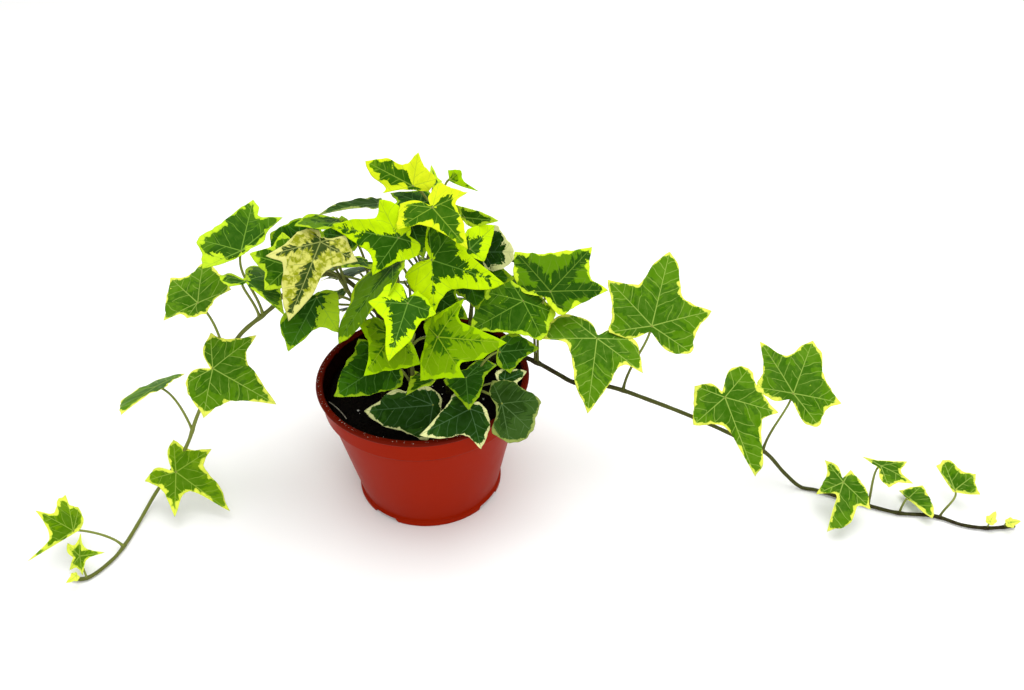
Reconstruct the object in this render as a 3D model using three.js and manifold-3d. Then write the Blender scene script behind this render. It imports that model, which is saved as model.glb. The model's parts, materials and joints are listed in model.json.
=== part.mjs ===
// Potted ivy: a trailing, variegated ivy in a round plastic nursery pot.
// Millimetres, +Z up. The origin is the middle of the pot's flat bottom, and -Y is the side that is seen.
// Each leafy stem is one solid: a rooted stem with its leaf stalks and lobed leaves grown onto it.
import * as THREE from 'three';
import { mergeVertices } from 'three/addons/utils/BufferGeometryUtils.js';
import Module from 'manifold-3d';

const wasm = await Module();
wasm.setup();

// ---------------------------------------------------------------- driving dimensions

const POT = {
  rimRadius: 60,        // a 12 cm nursery pot
  height: 79,
  lip: 2,               // thickness of the projecting lip
  collarRadius: 57.6,   // outside of the collar, just under the lip
  collarDrop: 15,       // from the rim down to the collar's lower edge
  shoulderRadius: 54.6, // the wall where it comes out under the collar
  heelRadius: 41.2,     // the wall just above the foot
  footRadius: 42.5,
  footHeight: 3,
  footWidth: 3.4,
  padRadius: 22,        // flat disc in the middle of the bottom
  wall: 1.3,
  facets: 30,
};
// Gaps in the foot ring, in degrees from the front, with the height of their top.
const NOTCHES = { width: 16, top: 2.55, angles: [-35, 57, 147, 237] };
const DRAINS = { count: 6, radius: 3, ring: 31.5, length: 12, facets: 8 };
const SOIL = {
  level: 69.5,
  gap: 0.35,     // air between the soil and the pot, and between the soil and a stem
  holeDepth: 18,
  mound: 1.5,    // how much the middle stands higher than the edge
  bump: 1.1,     // height of the lumps
  rings: 3,
  foot: 6.4,     // heights between which its side follows the pot's wall
  brim: 60.5,
};
const STEM = { radius: 1.3, sides: 6, step: 12, floor: 1.7 };
const STALK = {
  radius: 0.7,
  sides: 4,
  steps: 4,
  sink: 1.2,    // how far it runs on into the blade
  reach: 0.8,   // its usual length, as a share of the blade's
  clear: 5,     // least height of its foot over the soil
  below: 3,     // how far its foot stays under the blade
  tries: 200,   // points of the stem that are tried for its foot
  rise: 0.3,    // how steeply it leaves the stem, and how it comes up to the blade from behind and below,
  lean: 0.12,   // as shares of its length
  behind: 0.26,
  under: 0.2,
};
// What makes a place on a stem a poor foot for a stalk, per mm: its distance from the blade, how far it
// is above the place wanted, and how far it is down in the soil.
const FOOT_COST = { gap: 0.6, high: 4, buried: 9 };
const BLADE = { thickness: 0.8, ring: 0.52, wave: 0.022, waves: 5, crease: 0.05 };

// The view that leaves and vines are placed by: a point in it is [across, down] in a 1024 x 690 frame.
const VIEW = {
  focal: 1000,
  middle: [512, 345],
  pitch: 36.4,
  roll: -0.8,
  distance: 552,
  target: [50.4, 0, 97.8],
};

// ---------------------------------------------------------------- materials

const colours = {
  pot: new THREE.MeshStandardMaterial({ color: 0x9a3210, roughness: 0.45, metalness: 0 }),
  soil: new THREE.MeshStandardMaterial({ color: 0x17120e, roughness: 1, metalness: 0 }),
  mature: new THREE.MeshStandardMaterial({ color: 0x5f8a1d, roughness: 0.5, metalness: 0 }),
  lime: new THREE.MeshStandardMaterial({ color: 0xa6cc10, roughness: 0.5, metalness: 0 }),
  dark: new THREE.MeshStandardMaterial({ color: 0x36561d, roughness: 0.5, metalness: 0 }),
};

// ---------------------------------------------------------------- small helpers

const degrees = (angle) => (angle * Math.PI) / 180;
const vector = (x, y, z) => new THREE.Vector3(x, y, z);

// The same small number between -1 and 1 for the same key, so that no two leaves wave alike.
function wobble(key) {
  const wave = Math.sin(key * 12.9898) * 43758.5453;
  return 2 * (wave - Math.floor(wave)) - 1;
}

// A closed geometry as a solid, turned inside out when its faces point inwards.
function solid(geometry) {
  const bare = new THREE.BufferGeometry();
  bare.setAttribute('position', geometry.getAttribute('position'));
  bare.setIndex(geometry.index);
  const merged = mergeVertices(bare, 1e-4);
  const points = merged.getAttribute('position').array;
  const triangles = new Uint32Array(merged.index.array);
  const build = () => {
    return new wasm.Manifold(new wasm.Mesh({ numProp: 3, vertProperties: points, triVerts: triangles }));
  };
  const made = build();
  if (made.volume() > 0) return made;
  for (let i = 0; i < triangles.length; i += 3) {
    [triangles[i + 1], triangles[i + 2]] = [triangles[i + 2], triangles[i + 1]];
  }
  return build();
}

// A solid as a named mesh.
function node(name, body, material) {
  const result = body.getMesh();
  const geometry = new THREE.BufferGeometry();
  geometry.setAttribute('position', new THREE.BufferAttribute(new Float32Array(result.vertProperties), 3));
  geometry.setIndex(new THREE.BufferAttribute(new Uint32Array(result.triVerts), 1));
  geometry.computeVertexNormals();
  const mesh = new THREE.Mesh(geometry, material);
  mesh.name = name;
  return mesh;
}

// A round tube with flat ends along a smooth curve through the points.
function tube(points, radius, sides, steps) {
  const section = new THREE.Shape();
  for (let i = 0; i < sides; i += 1) {
    const turn = (i / sides) * 2 * Math.PI;
    if (i) section.lineTo(radius * Math.cos(turn), radius * Math.sin(turn));
    else section.moveTo(radius, 0);
  }
  section.closePath();
  const extrudePath = new THREE.CatmullRomCurve3(points, false, 'centripetal');
  return new THREE.ExtrudeGeometry(section, { steps, bevelEnabled: false, extrudePath });
}

// ---------------------------------------------------------------- the view

const view = (() => {
  const pitch = degrees(VIEW.pitch);
  const roll = degrees(VIEW.roll);
  const ahead = vector(0, Math.cos(pitch), -Math.sin(pitch));
  const level = vector(1, 0, 0);
  const upright = vector(0, Math.sin(pitch), Math.cos(pitch));
  const right = level.clone().multiplyScalar(Math.cos(roll)).addScaledVector(upright, Math.sin(roll));
  const up = upright.clone().multiplyScalar(Math.cos(roll)).addScaledVector(level, -Math.sin(roll));
  const eye = vector(...VIEW.target).addScaledVector(ahead, -VIEW.distance);
  return { ahead, right, up, eye };
})();

// Direction from the eye through a point of the view.
function sight([across, down]) {
  return view.ahead.clone().multiplyScalar(VIEW.focal)
    .addScaledVector(view.right, across - VIEW.middle[0])
    .addScaledVector(view.up, VIEW.middle[1] - down)
    .normalize();
}

// The point seen there that lies at a depth behind the pot's axis, or at a height above the surface.
function atDepth(seen, depth) {
  const ray = sight(seen);
  return view.eye.clone().addScaledVector(ray, (depth - view.eye.y) / ray.y);
}
function atHeight(seen, height) {
  const ray = sight(seen);
  return view.eye.clone().addScaledVector(ray, (height - view.eye.z) / ray.z);
}

// ---------------------------------------------------------------- pot and soil

// Profile of the pot's wall from the middle of the bottom, out and up, over the lip, and down inside.
function potProfile() {
  const { rimRadius, height, lip, collarRadius, collarDrop, shoulderRadius, heelRadius } = POT;
  const { footRadius, footHeight, footWidth, padRadius, wall } = POT;
  const collarFoot = height - collarDrop;
  return [
    [0, 0],
    [padRadius, 0],
    [padRadius + 2, footHeight],
    [footRadius - footWidth - 1, footHeight],
    [footRadius - footWidth, 0],
    [footRadius - 0.4, 0],
    [footRadius, 0.5],
    [footRadius, footHeight - 0.2],
    [heelRadius, footHeight + 0.5],
    [shoulderRadius, collarFoot - 0.6],
    [shoulderRadius + 1.6, collarFoot],
    [collarRadius - 0.6, collarFoot + 0.8],
    [collarRadius, height - lip - 1],
    [rimRadius - 0.3, height - lip],
    [rimRadius, height - 0.5 * lip],
    [rimRadius - 0.7, height],
    [collarRadius - wall + 0.5, height],
    [collarRadius - wall - 0.3, height - 1],
    [collarRadius - wall - 0.8, collarFoot + 0.4],
    [shoulderRadius - wall, collarFoot - 2.2],
    [heelRadius - wall + 0.3, footHeight + wall + 1],
    [heelRadius - wall - 1, footHeight + wall],
    [padRadius + 2.6, footHeight + wall],
    [padRadius + 0.6, wall],
    [0, wall],
  ];
}

function makePot() {
  const profile = potProfile().map(([radius, z]) => new THREE.Vector2(radius, z));
  // A lathe turns about Y, so the pot is stood up.
  let body = solid(new THREE.LatheGeometry(profile, POT.facets).rotateX(Math.PI / 2));
  const notchSize = [NOTCHES.width, 3 * POT.footWidth, 2 * NOTCHES.top];
  for (const angle of NOTCHES.angles) {
    const notch = new THREE.BoxGeometry(...notchSize);
    notch.translate(0, 0.5 * POT.footWidth - POT.footRadius, 0);
    notch.rotateZ(degrees(angle));
    body = body.subtract(solid(notch));
  }
  for (let i = 0; i < DRAINS.count; i += 1) {
    const turn = ((i + 0.5) / DRAINS.count) * 2 * Math.PI;
    const drain = new THREE.CylinderGeometry(DRAINS.radius, DRAINS.radius, DRAINS.length, DRAINS.facets);
    drain.rotateX(Math.PI / 2);
    drain.translate(DRAINS.ring * Math.cos(turn), DRAINS.ring * Math.sin(turn), POT.footHeight);
    body = body.subtract(solid(drain));
  }
  return node('pot', body, colours.pot);
}

// Radius of the pot's inside wall at a height.
function insideRadius(z) {
  const low = POT.footHeight + POT.wall + 1;
  const high = POT.height - POT.collarDrop - 2.2;
  const share = (z - low) / (high - low);
  return THREE.MathUtils.lerp(POT.heelRadius - POT.wall + 0.3, POT.shoulderRadius - POT.wall, share);
}

// Height of the loose soil's top: a low mound with lumps, flat at its edge.
function soilTop(x, y, edge) {
  const share = Math.hypot(x, y) / edge;
  const lumps = Math.sin(0.31 * x + 1.3) * Math.cos(0.27 * y) + Math.sin(0.17 * x - 0.23 * y);
  return SOIL.level + (1 - share ** 4) * (SOIL.mound + SOIL.bump * lumps);
}

function makeSoil(stems) {
  const { level, gap, rings, foot, brim } = SOIL;
  const floor = POT.footHeight + POT.wall + gap;
  const edge = insideRadius(brim) - gap;
  const profile = [
    [0, POT.wall + gap],
    [POT.padRadius + 0.2, POT.wall + gap],
    [POT.padRadius + 2.2, floor],
    [POT.heelRadius - POT.wall - 1.4 - gap, floor],
    [insideRadius(foot) - gap - 0.2, foot],
    [edge, brim],
    [edge, level],
  ];
  for (let ring = rings - 1; ring >= 0; ring -= 1) profile.push([(edge * ring) / rings, level]);
  const points = profile.map(([radius, z]) => new THREE.Vector2(radius, z));
  const geometry = new THREE.LatheGeometry(points, POT.facets).rotateX(Math.PI / 2);
  const position = geometry.getAttribute('position');
  for (let i = 0; i < position.count; i += 1) {
    if (position.getZ(i) < level - 0.01) continue;
    position.setZ(i, soilTop(position.getX(i), position.getY(i), edge));
  }
  let body = solid(geometry);
  for (const { root } of stems) {
    const radius = STEM.radius + SOIL.gap + 0.1;
    const hole = new THREE.CylinderGeometry(radius, radius, 2 * SOIL.holeDepth, 8).rotateX(Math.PI / 2);
    hole.translate(root[0], root[1], level);
    body = body.subtract(solid(hole));
  }
  return node('soil', body, colours.soil);
}

// ---------------------------------------------------------------- leaves

// Depth of the cuts between lobes, how pointed the lobes are, and how the blade bends, for each form.
const FORMS = {
  broad: { lobes: [0.5, 0.76, 0.76, 0.5], cuts: [0.68, 0.8], point: 1.5, fold: 0.07, droop: 0.13 },
  sharp: { lobes: [0.4, 0.62, 0.62, 0.4], cuts: [0.64, 0.76], point: 1.45, fold: 0.12, droop: 0.1 },
  long: { lobes: [0.34, 0.52, 0.52, 0.34], cuts: [0.86, 0.82], point: 1.3, fold: 0.12, droop: 0.12 },
  round: { lobes: [0.68, 0.8, 0.8, 0.68], cuts: [0.88, 0.9], point: 1.2, fold: 0.05, droop: 0.12 },
  bud: { lobes: [0.3, 0.45, 0.45, 0.3], cuts: [0.7, 0.8], point: 1.3, fold: 0.3, droop: 0.05 },
};
const TURNS = [122, 58]; // angles of the base lobes and of the side lobes from the tip
const NOTCH = 0.13; // the blade behind its stalk, as a share of its length
const NOTCH_ROUND = 0.8; // below 1, so that the base lobes are full on the side of the notch

// Angles of the corners of the blade's edge: the lobes' tips, the cuts between them, and the notch.
const [BASE, SIDE] = TURNS;
const HALF = [SIDE / 2, SIDE, (SIDE + BASE) / 2, BASE, (BASE + 180) / 2];
const STATIONS = [0, ...HALF, 180, ...HALF.map((angle) => -angle).reverse()];

// Distance from the stalk to the blade's edge in a direction, as a share of the length to the tip.
// Between a cut and a lobe's tip it grows by a power of the angle, so that the lobe comes to a point.
function edgeShare(angle, lobes, { cuts, point }) {
  const [side, base] = angle >= 0 ? [lobes[2], lobes[3]] : [lobes[1], lobes[0]];
  const cutOne = cuts[0] * Math.sqrt(side);
  const cutTwo = cuts[1] * Math.sqrt(side * base);
  const turn = Math.abs(angle);
  const ends = [
    [0, 1, SIDE / 2, cutOne],
    [SIDE, side, SIDE / 2, cutOne],
    [SIDE, side, (SIDE + BASE) / 2, cutTwo],
    [BASE, base, (SIDE + BASE) / 2, cutTwo],
    [BASE, base, 180, NOTCH],
  ];
  const stretch = ends.find(([from, , to]) => turn >= Math.min(from, to) && turn <= Math.max(from, to));
  const [lobeAngle, lobe, cutAngle, cut] = stretch;
  const share = Math.abs(turn - cutAngle) / Math.abs(lobeAngle - cutAngle);
  return cut + (lobe - cut) * share ** (cutAngle === 180 ? NOTCH_ROUND : point);
}

// Height of the blade over its flat plan: folded up along the midrib, drooping towards its edge, waved.
// The slope along the midrib is taken out again, so that the tip stays where it is seen.
function bladeHeight(along, across, form, key) {
  const reach = Math.hypot(along, across);
  const turn = Math.atan2(across, along);
  const bend = (b, r) => form.fold * (Math.hypot(b, BLADE.crease) - BLADE.crease) - form.droop * r * r;
  const wave = BLADE.wave * reach * reach * Math.sin(BLADE.waves * turn + 3 * wobble(key));
  return bend(across, reach) - along * bend(0, 1) + wave;
}

// The blade's own directions: along the midrib to the tip, across to the right, and out of its face. Of
// the ways in which a blade of this length can lie there, it takes the one that faces up the most.
function seenFrame({ blade, tip, depth, long, narrow = 1 }) {
  const joint = atDepth(blade, depth);
  const toEye = view.eye.clone().sub(joint).normalize();
  const ray = sight(tip);
  const nearest = joint.clone().sub(view.eye).dot(ray);
  const miss = joint.distanceTo(view.eye.clone().addScaledVector(ray, nearest));
  const half = Math.sqrt(Math.max(long * long - miss * miss, 0));
  const choices = [];
  for (const reach of [nearest - half, nearest + half]) {
    const along = view.eye.clone().addScaledVector(ray, reach).sub(joint);
    const length = along.length();
    along.normalize();
    const flat = along.clone().cross(toEye).normalize();
    const facing = flat.clone().cross(along);
    for (const side of [1, -1]) {
      const lean = side * Math.acos(narrow);
      const across = flat.clone().multiplyScalar(Math.cos(lean)).addScaledVector(facing, Math.sin(lean));
      choices.push({ joint, along, across, out: across.clone().cross(along), length });
    }
  }
  choices.sort((a, b) => b.out.z - a.out.z);
  return choices[0];
}

// A leaf at the unseen back: it lies on the crown's round outline like a shingle, tip outwards and down.
function shingleFrame({ around, height, long, sway = 0, tilt = 38 }) {
  const turn = degrees(around);
  const joint = crownPoint(turn, height);
  const outward = vector(Math.cos(turn + degrees(sway)), Math.sin(turn + degrees(sway)), 0);
  const along = outward.clone().multiplyScalar(Math.cos(degrees(tilt)));
  along.z = -Math.sin(degrees(tilt));
  const across = along.clone().cross(vector(0, 0, 1)).normalize();
  return { joint, along, across, out: across.clone().cross(along), length: long };
}

// The crown's outline behind the pot's axis: an egg that stands on the rim.
const CROWN = { middle: [0, 5, 88], radii: [64, 56, 94] };
function crownPoint(turn, height) {
  const [x, y, z] = CROWN.middle;
  const [a, b, c] = CROWN.radii;
  const share = Math.sqrt(Math.max(1 - ((height - z) / c) ** 2, 0));
  return vector(x + a * share * Math.cos(turn), y + b * share * Math.sin(turn), height);
}

// Corners of a blade's edge on its plan, in blade lengths along and across: the lobes' tips, where a vein
// ends, and the cuts between them. Of a seen leaf they lie on the lines of sight through the points of its
// edge, and otherwise they follow from its form.
function cornersOf({ joint, along, across, out, length }, leaf) {
  if (!leaf.edge) {
    const form = FORMS[leaf.form ?? 'broad'];
    return STATIONS.map((angle, i) => {
      const reach = edgeShare(angle, leaf.lobes ?? form.lobes, form);
      return { a: reach * Math.cos(degrees(angle)), b: reach * Math.sin(degrees(angle)), vein: i % 2 === 0 };
    });
  }
  const corners = leaf.edge.map(([x, y, lobe], i) => {
    const ray = sight([x, y]);
    const reach = joint.clone().sub(view.eye).dot(out) / ray.dot(out);
    const offset = view.eye.clone().addScaledVector(ray, reach).sub(joint);
    return { a: offset.dot(along) / length, b: offset.dot(across) / length, vein: i === 0 || lobe === 1 };
  });
  const area = corners.reduce((sum, p, i) => {
    const q = corners[(i + 1) % corners.length];
    return sum + p.a * q.b - p.b * q.a;
  }, 0);
  return area > 0 ? corners : [corners[0], ...corners.slice(1).reverse()];
}

// The blade: a fan from the stalk, an inner ring on the veins that run to the lobes, and the lobed edge,
// with the same triangles on both faces. A bud has no inner ring.
function makeBlade(frame, leaf) {
  const form = FORMS[leaf.form ?? 'broad'];
  const small = leaf.form === 'bud';
  const outer = cornersOf(frame, leaf).filter((corner) => corner.vein || !small);
  const veins = outer.flatMap((corner, i) => (corner.vein ? [i] : []));
  const face = [[0, 0]];
  if (!small) veins.forEach((i) => face.push([BLADE.ring * outer[i].a, BLADE.ring * outer[i].b]));
  outer.forEach(({ a, b }) => face.push([a, b]));

  const triangles = [];
  const rim = [];
  const start = small ? 1 : 1 + veins.length;
  const next = (i, count) => (i + 1) % count;
  for (let i = 0; i < veins.length; i += 1) {
    const [a, b] = [1 + i, 1 + next(i, veins.length)];
    triangles.push([0, a, b]);
    if (small) continue;
    // Between two veins, the near half of the edge hangs on the first vein and the far half on the second.
    const last = i + 1 < veins.length ? veins[i + 1] : outer.length;
    const middle = Math.ceil((veins[i] + last) / 2);
    const edgeAt = (corner) => start + (corner % outer.length);
    for (let corner = veins[i]; corner < middle; corner += 1) {
      triangles.push([a, edgeAt(corner), edgeAt(corner + 1)]);
    }
    triangles.push([a, edgeAt(middle), b]);
    for (let corner = middle; corner < last; corner += 1) {
      triangles.push([b, edgeAt(corner), edgeAt(corner + 1)]);
    }
  }
  for (let i = 0; i < outer.length; i += 1) rim.push([start + i, start + next(i, outer.length)]);

  const { joint, along, across, out, length } = frame;
  const points = [];
  for (const side of [0.5, -0.5]) {
    for (const [a, b] of face) {
      const rise = length * bladeHeight(a, b, form, joint.x) + side * BLADE.thickness;
      const point = joint.clone().addScaledVector(along, a * length);
      points.push(point.addScaledVector(across, b * length).addScaledVector(out, rise));
    }
  }
  const below = face.length;
  const index = [];
  for (const [a, b, c] of triangles) index.push(a, c, b, below + a, below + b, below + c);
  for (const [a, b] of rim) index.push(a, b, below + a, b, below + b, below + a);
  return solid(new THREE.BufferGeometry().setFromPoints(points).setIndex(index));
}

// How far a point lies from the line of sight through a point of the view.
function missOf(point, seen) {
  const ray = sight(seen);
  const offset = point.clone().sub(view.eye);
  return offset.addScaledVector(ray, -offset.dot(ray)).length();
}

// Where a leaf's stalk leaves its stem: at the point seen in the view, or else below the blade, about a
// stalk's length away and clear of the soil.
function footOf(joint, leaf, route) {
  const wanted = leaf.long * STALK.reach;
  let best = { cost: Infinity };
  for (let i = 0; i <= STALK.tries; i += 1) {
    const point = route.getPoint(i / STALK.tries);
    const gap = point.distanceTo(joint);
    const high = Math.max(0, point.z - joint.z + STALK.below);
    const inPot = Math.hypot(point.x, point.y) < POT.rimRadius;
    const buried = inPot ? Math.max(0, SOIL.level + STALK.clear - point.z) : 0;
    const free = Math.abs(gap - wanted) + FOOT_COST.gap * gap + FOOT_COST.high * high;
    const cost = (leaf.stalk ? missOf(point, leaf.stalk) : free) + FOOT_COST.buried * buried;
    if (cost < best.cost) best = { cost, point, gap };
  }
  return best;
}

// The stalk: from the middle of the stem, up and out, and into the blade from below.
function makeStalk(frame, leaf, route) {
  const { joint, along, out } = frame;
  const { point: foot, gap } = footOf(joint, leaf, route);
  const first = foot.clone().lerp(joint, STALK.lean).add(vector(0, 0, STALK.rise * gap));
  const last = joint.clone().addScaledVector(along, -STALK.behind * gap);
  last.addScaledVector(out, -STALK.under * gap);
  const points = new THREE.CubicBezierCurve3(foot, first, last, joint).getPoints(STALK.steps);
  points.push(joint.clone().addScaledVector(along, STALK.sink));
  return solid(tube(points, STALK.radius, STALK.sides, STALK.steps + 1));
}

// ---------------------------------------------------------------- stems

// Each stem: where it is rooted, its way through the crown in mm, then its way as it is seen, with the
// depth of each point, and then the stretch that lies on the surface.
const STEMS = [
  {
    name: 'vine_left', colour: 'mature', root: [-14, 5],
    climb: [[-16, 4, 96], [-24, 3, 122], [-40, 3, 142], [-58, 4, 142], [-71, 4, 131]],
    seen: [[272.6, 307, 3], [263, 315, 2], [240, 335, 0], [221, 368, -4], [198, 414, -8], [187, 445, -11],
      [172, 470, -14], [157, 491, -18]],
    lying: [[139, 522], [125, 544.5], [112, 560], [87, 578], [72, 579]],
  },
  {
    name: 'vine_right', colour: 'mature', root: [30, 2],
    climb: [[33, 2, 82], [44, 2, 89]],
    seen: [[523, 357, 3], [538, 363, 1], [559, 374.6, -1], [573, 382, -2], [611, 387, -4], [652, 401, -7],
      [692, 416.6, -9], [735, 436, -11], [766, 453, -12], [785, 473.6, -14]],
    lying: [[801, 487], [816, 490], [872, 506.5], [899, 513], [934.5, 516], [963, 525], [987, 528],
      [1014.6, 526]],
  },
  {
    name: 'stem_top', colour: 'lime', root: [4, 12],
    climb: [[4, 11, 100], [5, 9, 130], [9, 6, 155], [13, 3, 172]],
  },
  {
    name: 'stem_lime', colour: 'lime', root: [-6, -6],
    climb: [[-7, -7, 100], [-8, -4, 130], [-10, 0, 150]],
  },
  {
    name: 'stem_centre', colour: 'lime', root: [14, -8],
    climb: [[15, -10, 100], [17, -12, 130], [20, -14, 146]],
  },
  {
    name: 'stem_front', colour: 'lime', root: [-1, -26],
    climb: [[-2, -28, 95], [-2, -29, 115], [0, -30, 128]],
  },
  {
    name: 'stem_left', colour: 'dark', root: [-22, -10],
    climb: [[-22, -11, 95], [-27, -10, 122], [-38, -6, 146]],
  },
  { name: 'stem_rim', colour: 'dark', root: [26, -24], climb: [[28, -26, 84], [31, -26, 94]] },
  { name: 'stem_back_left', colour: 'mature', root: [-22, 20], climb: [[-25, 23, 100], [-29, 27, 128]] },
  { name: 'stem_back_right', colour: 'mature', root: [24, 20], climb: [[27, 23, 100], [30, 27, 128]] },
  { name: 'stem_back_middle', colour: 'mature', root: [2, 34], climb: [[2, 36, 95], [1, 36, 118]] },
];

function routeOf({ root, climb, seen = [], lying = [] }) {
  const points = [vector(...root, SOIL.level - SOIL.holeDepth + 1), vector(...root, SOIL.level + 4)];
  climb.forEach((place) => points.push(vector(...place)));
  seen.forEach(([across, down, depth]) => points.push(atDepth([across, down], depth)));
  lying.forEach((place) => points.push(atHeight(place, STEM.floor)));
  return new THREE.CatmullRomCurve3(points, false, 'centripetal');
}

// Each leaf that is seen, by its stem: where its stalk meets the blade and where its tip is in the view, its
// depth behind the pot's axis and its length to the tip in mm, and where its stalk leaves the stem. edge
// holds the corners of its outline as seen, from the notch at the stalk round the blade, and a 1 marks a
// lobe's tip. Without an edge the form gives the outline, with lobes of its own in the order left base to
// right base.
const SEEN_LEAVES = {
  // left vine, from the crown outwards
  vine_left: [
    { blade: [241, 251], tip: [253.5, 198], depth: 2, long: 34, stalk: [263, 315],
      edge: [[243, 255], [222, 263], [202, 266.5, 1], [202, 254], [197, 239, 1], [217, 227],
        [253.5, 198, 1], [259, 208], [257, 216.5], [282, 219, 1], [268, 232], [263, 243, 1], [250, 250]] },
    { blade: [198, 303], tip: [171, 278.5], depth: 3, long: 30, stalk: [226, 358],
      edge: [[204, 312.5], [187, 318, 1], [183, 315], [164, 321, 1], [168, 298], [171, 278.5, 1],
        [187, 277], [205, 264, 1], [219, 273], [230, 288, 1], [214, 299], [209, 306]] },
    { blade: [246, 281], tip: [284, 317.6], depth: -6, long: 32, narrow: 0.6, stalk: [260, 318],
      edge: [[246, 284], [236, 286.5], [228, 288.5, 1], [220, 275, 1], [233, 271.5], [244, 278], [247, 266],
        [256, 260.5, 1], [280, 270, 1], [280, 292], [284, 317.6, 1], [260, 298]] },
    { blade: [213, 368.5], tip: [274.5, 403], depth: -16, long: 41, stalk: [222, 366],
      edge: [[210, 368], [201, 351], [209, 332, 1], [224, 338.5], [257, 335.5, 1], [247, 358], [260, 378],
        [274.5, 403.5, 1], [228, 403], [204, 418, 1], [184.5, 383, 1], [193, 369]] },
    { blade: [156, 387], tip: [121, 415.5], depth: 0, long: 28, narrow: 0.35, stalk: [191, 430],
      edge: [[164, 390], [149, 396], [130, 409], [121, 415.5, 1], [123, 400], [134, 392, 1], [160, 374],
        [181, 366.5, 1], [172, 379]] },
    { blade: [176, 472], tip: [229.5, 511], depth: -22, long: 38, stalk: [180, 458],
      edge: [[171.5, 470.5], [167, 452], [173, 438.5, 1], [188, 449], [212, 449, 1], [204, 465], [220, 487],
        [229.6, 511, 1], [187, 492], [175, 517.5, 1], [161, 489], [144.5, 481, 1], [156, 467.5]] },
    { blade: [73, 531], tip: [27, 562], depth: -59, long: 33, stalk: [123, 546.5],
      edge: [[75, 533], [55, 545], [27, 562, 1], [48, 537], [35, 511, 1], [53, 513], [58, 500],
        [68, 493, 1], [71, 504], [81, 506, 1], [85, 521, 1], [81, 529]] },
    { blade: [80, 556], tip: [104, 553], depth: -71, long: 15, form: 'round', stalk: [87, 578],
      edge: [[72, 558], [65, 552], [65, 543, 1], [74, 545], [80, 533.5, 1], [85, 547], [105, 552.5, 1],
        [87, 560], [83, 575, 1], [76, 568], [67, 571, 1]] },
    { blade: [76, 576], tip: [66, 583], depth: -82, long: 7, form: 'bud', stalk: [80, 579] },
  ],
  // right vine, from the pot outwards
  vine_right: [
    { blade: [523, 301], tip: [470, 331], depth: 6, long: 34, stalk: [536, 361],
      edge: [[545, 298], [516, 284], [504, 272, 1], [494, 284], [484, 292, 1], [476, 303], [470, 331, 1],
        [500, 332.5], [526, 336], [543, 339.5, 1], [552, 322], [557, 313, 1], [548, 302]] },
    { blade: [550.5, 291.5], tip: [592, 248], depth: 10, long: 35, stalk: [538, 362],
      edge: [[545, 297], [523, 291, 1], [514, 275], [515, 251, 1], [541, 254], [568, 251], [592, 247, 1],
        [590, 277], [608, 291, 1], [575, 307], [561, 315, 1], [549, 304]] },
    { blade: [597, 338.4], tip: [587.5, 413], depth: -2, long: 42, stalk: [576, 383],
      edge: [[598, 335], [591, 322], [566, 313, 1], [550, 321], [543, 339, 1], [566, 344], [576, 387],
        [587.5, 413, 1], [606, 390], [622, 366], [643, 374, 1], [635, 340, 1], [612, 329]] },
    { blade: [651.8, 326], tip: [669.6, 253], depth: 0, long: 43, stalk: [623, 389],
      edge: [[650.5, 331.5], [631, 338], [608, 332, 1], [612, 313], [607.5, 279, 1], [638, 285], [656, 261],
        [669.6, 252.5, 1], [678, 264], [684, 299.5], [712, 311, 1], [696, 333], [691, 352, 1], [669, 351]] },
    { blade: [725, 397.4], tip: [755.7, 478], depth: -20, long: 47, stalk: [738, 438],
      edge: [[722, 391], [711, 383], [694, 385, 1], [693, 426, 1], [724, 427], [741, 452], [755.7, 478, 1],
        [763, 462], [763, 421], [778, 413, 1], [758, 388], [749, 368, 1], [731, 367]] },
    { blade: [793.4, 393.5], tip: [812.7, 341], depth: -4, long: 35, stalk: [763, 451],
      edge: [[791, 399], [775, 400], [757, 387, 1], [763, 371], [760, 341, 1], [787, 357], [800, 347],
        [812.7, 341, 1], [821, 352], [824, 378], [841, 403, 1], [826, 410], [819, 425, 1], [807, 423]] },
    { blade: [843.4, 482.3], tip: [827, 531.7], depth: -33, long: 31, stalk: [838, 497],
      edge: [[842.5, 478], [837, 464], [825, 459, 1], [827, 473], [816, 495, 1], [836, 495], [832, 512],
        [827, 531.7, 1], [850, 524], [858, 507], [870.5, 509, 1], [866, 489], [851, 469, 1]] },
    { blade: [880.7, 466], tip: [913.6, 484], depth: -20, long: 23, narrow: 0.8, stalk: [868, 505],
      edge: [[879, 469], [861, 452, 1], [877, 459], [908, 463, 1], [901, 472], [913.6, 484, 1], [898, 484],
        [889, 489, 1], [880, 479]] },
    { blade: [909, 498], tip: [932, 518.5], depth: -31, long: 19, narrow: 0.85, stalk: [899, 513],
      edge: [[908, 500], [899, 489, 1], [911, 486], [923, 484, 1], [927, 493], [934, 510],
        [932.5, 518.5, 1], [922, 512], [915, 505.5, 1]] },
    { blade: [955, 490], tip: [941, 461], depth: -32, long: 19, stalk: [940, 517],
      edge: [[953, 492], [944, 479], [936, 466, 1], [940, 464], [943, 459.5, 1], [951, 461], [962, 471],
        [976, 474, 1], [975.5, 483], [980, 494, 1], [968, 494]] },
    { blade: [990, 522], tip: [996, 511], depth: -52, long: 8, form: 'bud', stalk: [987, 528] },
    { blade: [1008, 523], tip: [1021, 521], depth: -53, long: 8, form: 'bud', stalk: [1004, 527] },
  ],
  // top of the crown
  stem_top: [
    { blade: [432.6, 207.7], tip: [468, 249], depth: -18, long: 31, form: 'sharp',
      edge: [[430, 205], [415, 199], [399, 203, 1], [397, 217], [397, 230.5, 1], [423, 226],
        [468.5, 249.5, 1], [465, 226], [457.5, 203], [469, 194, 1], [452, 188.5], [439, 183, 1],
        [428, 195]] },
    { blade: [413, 186], tip: [366.3, 161.9], depth: 8, long: 30, form: 'sharp',
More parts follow.
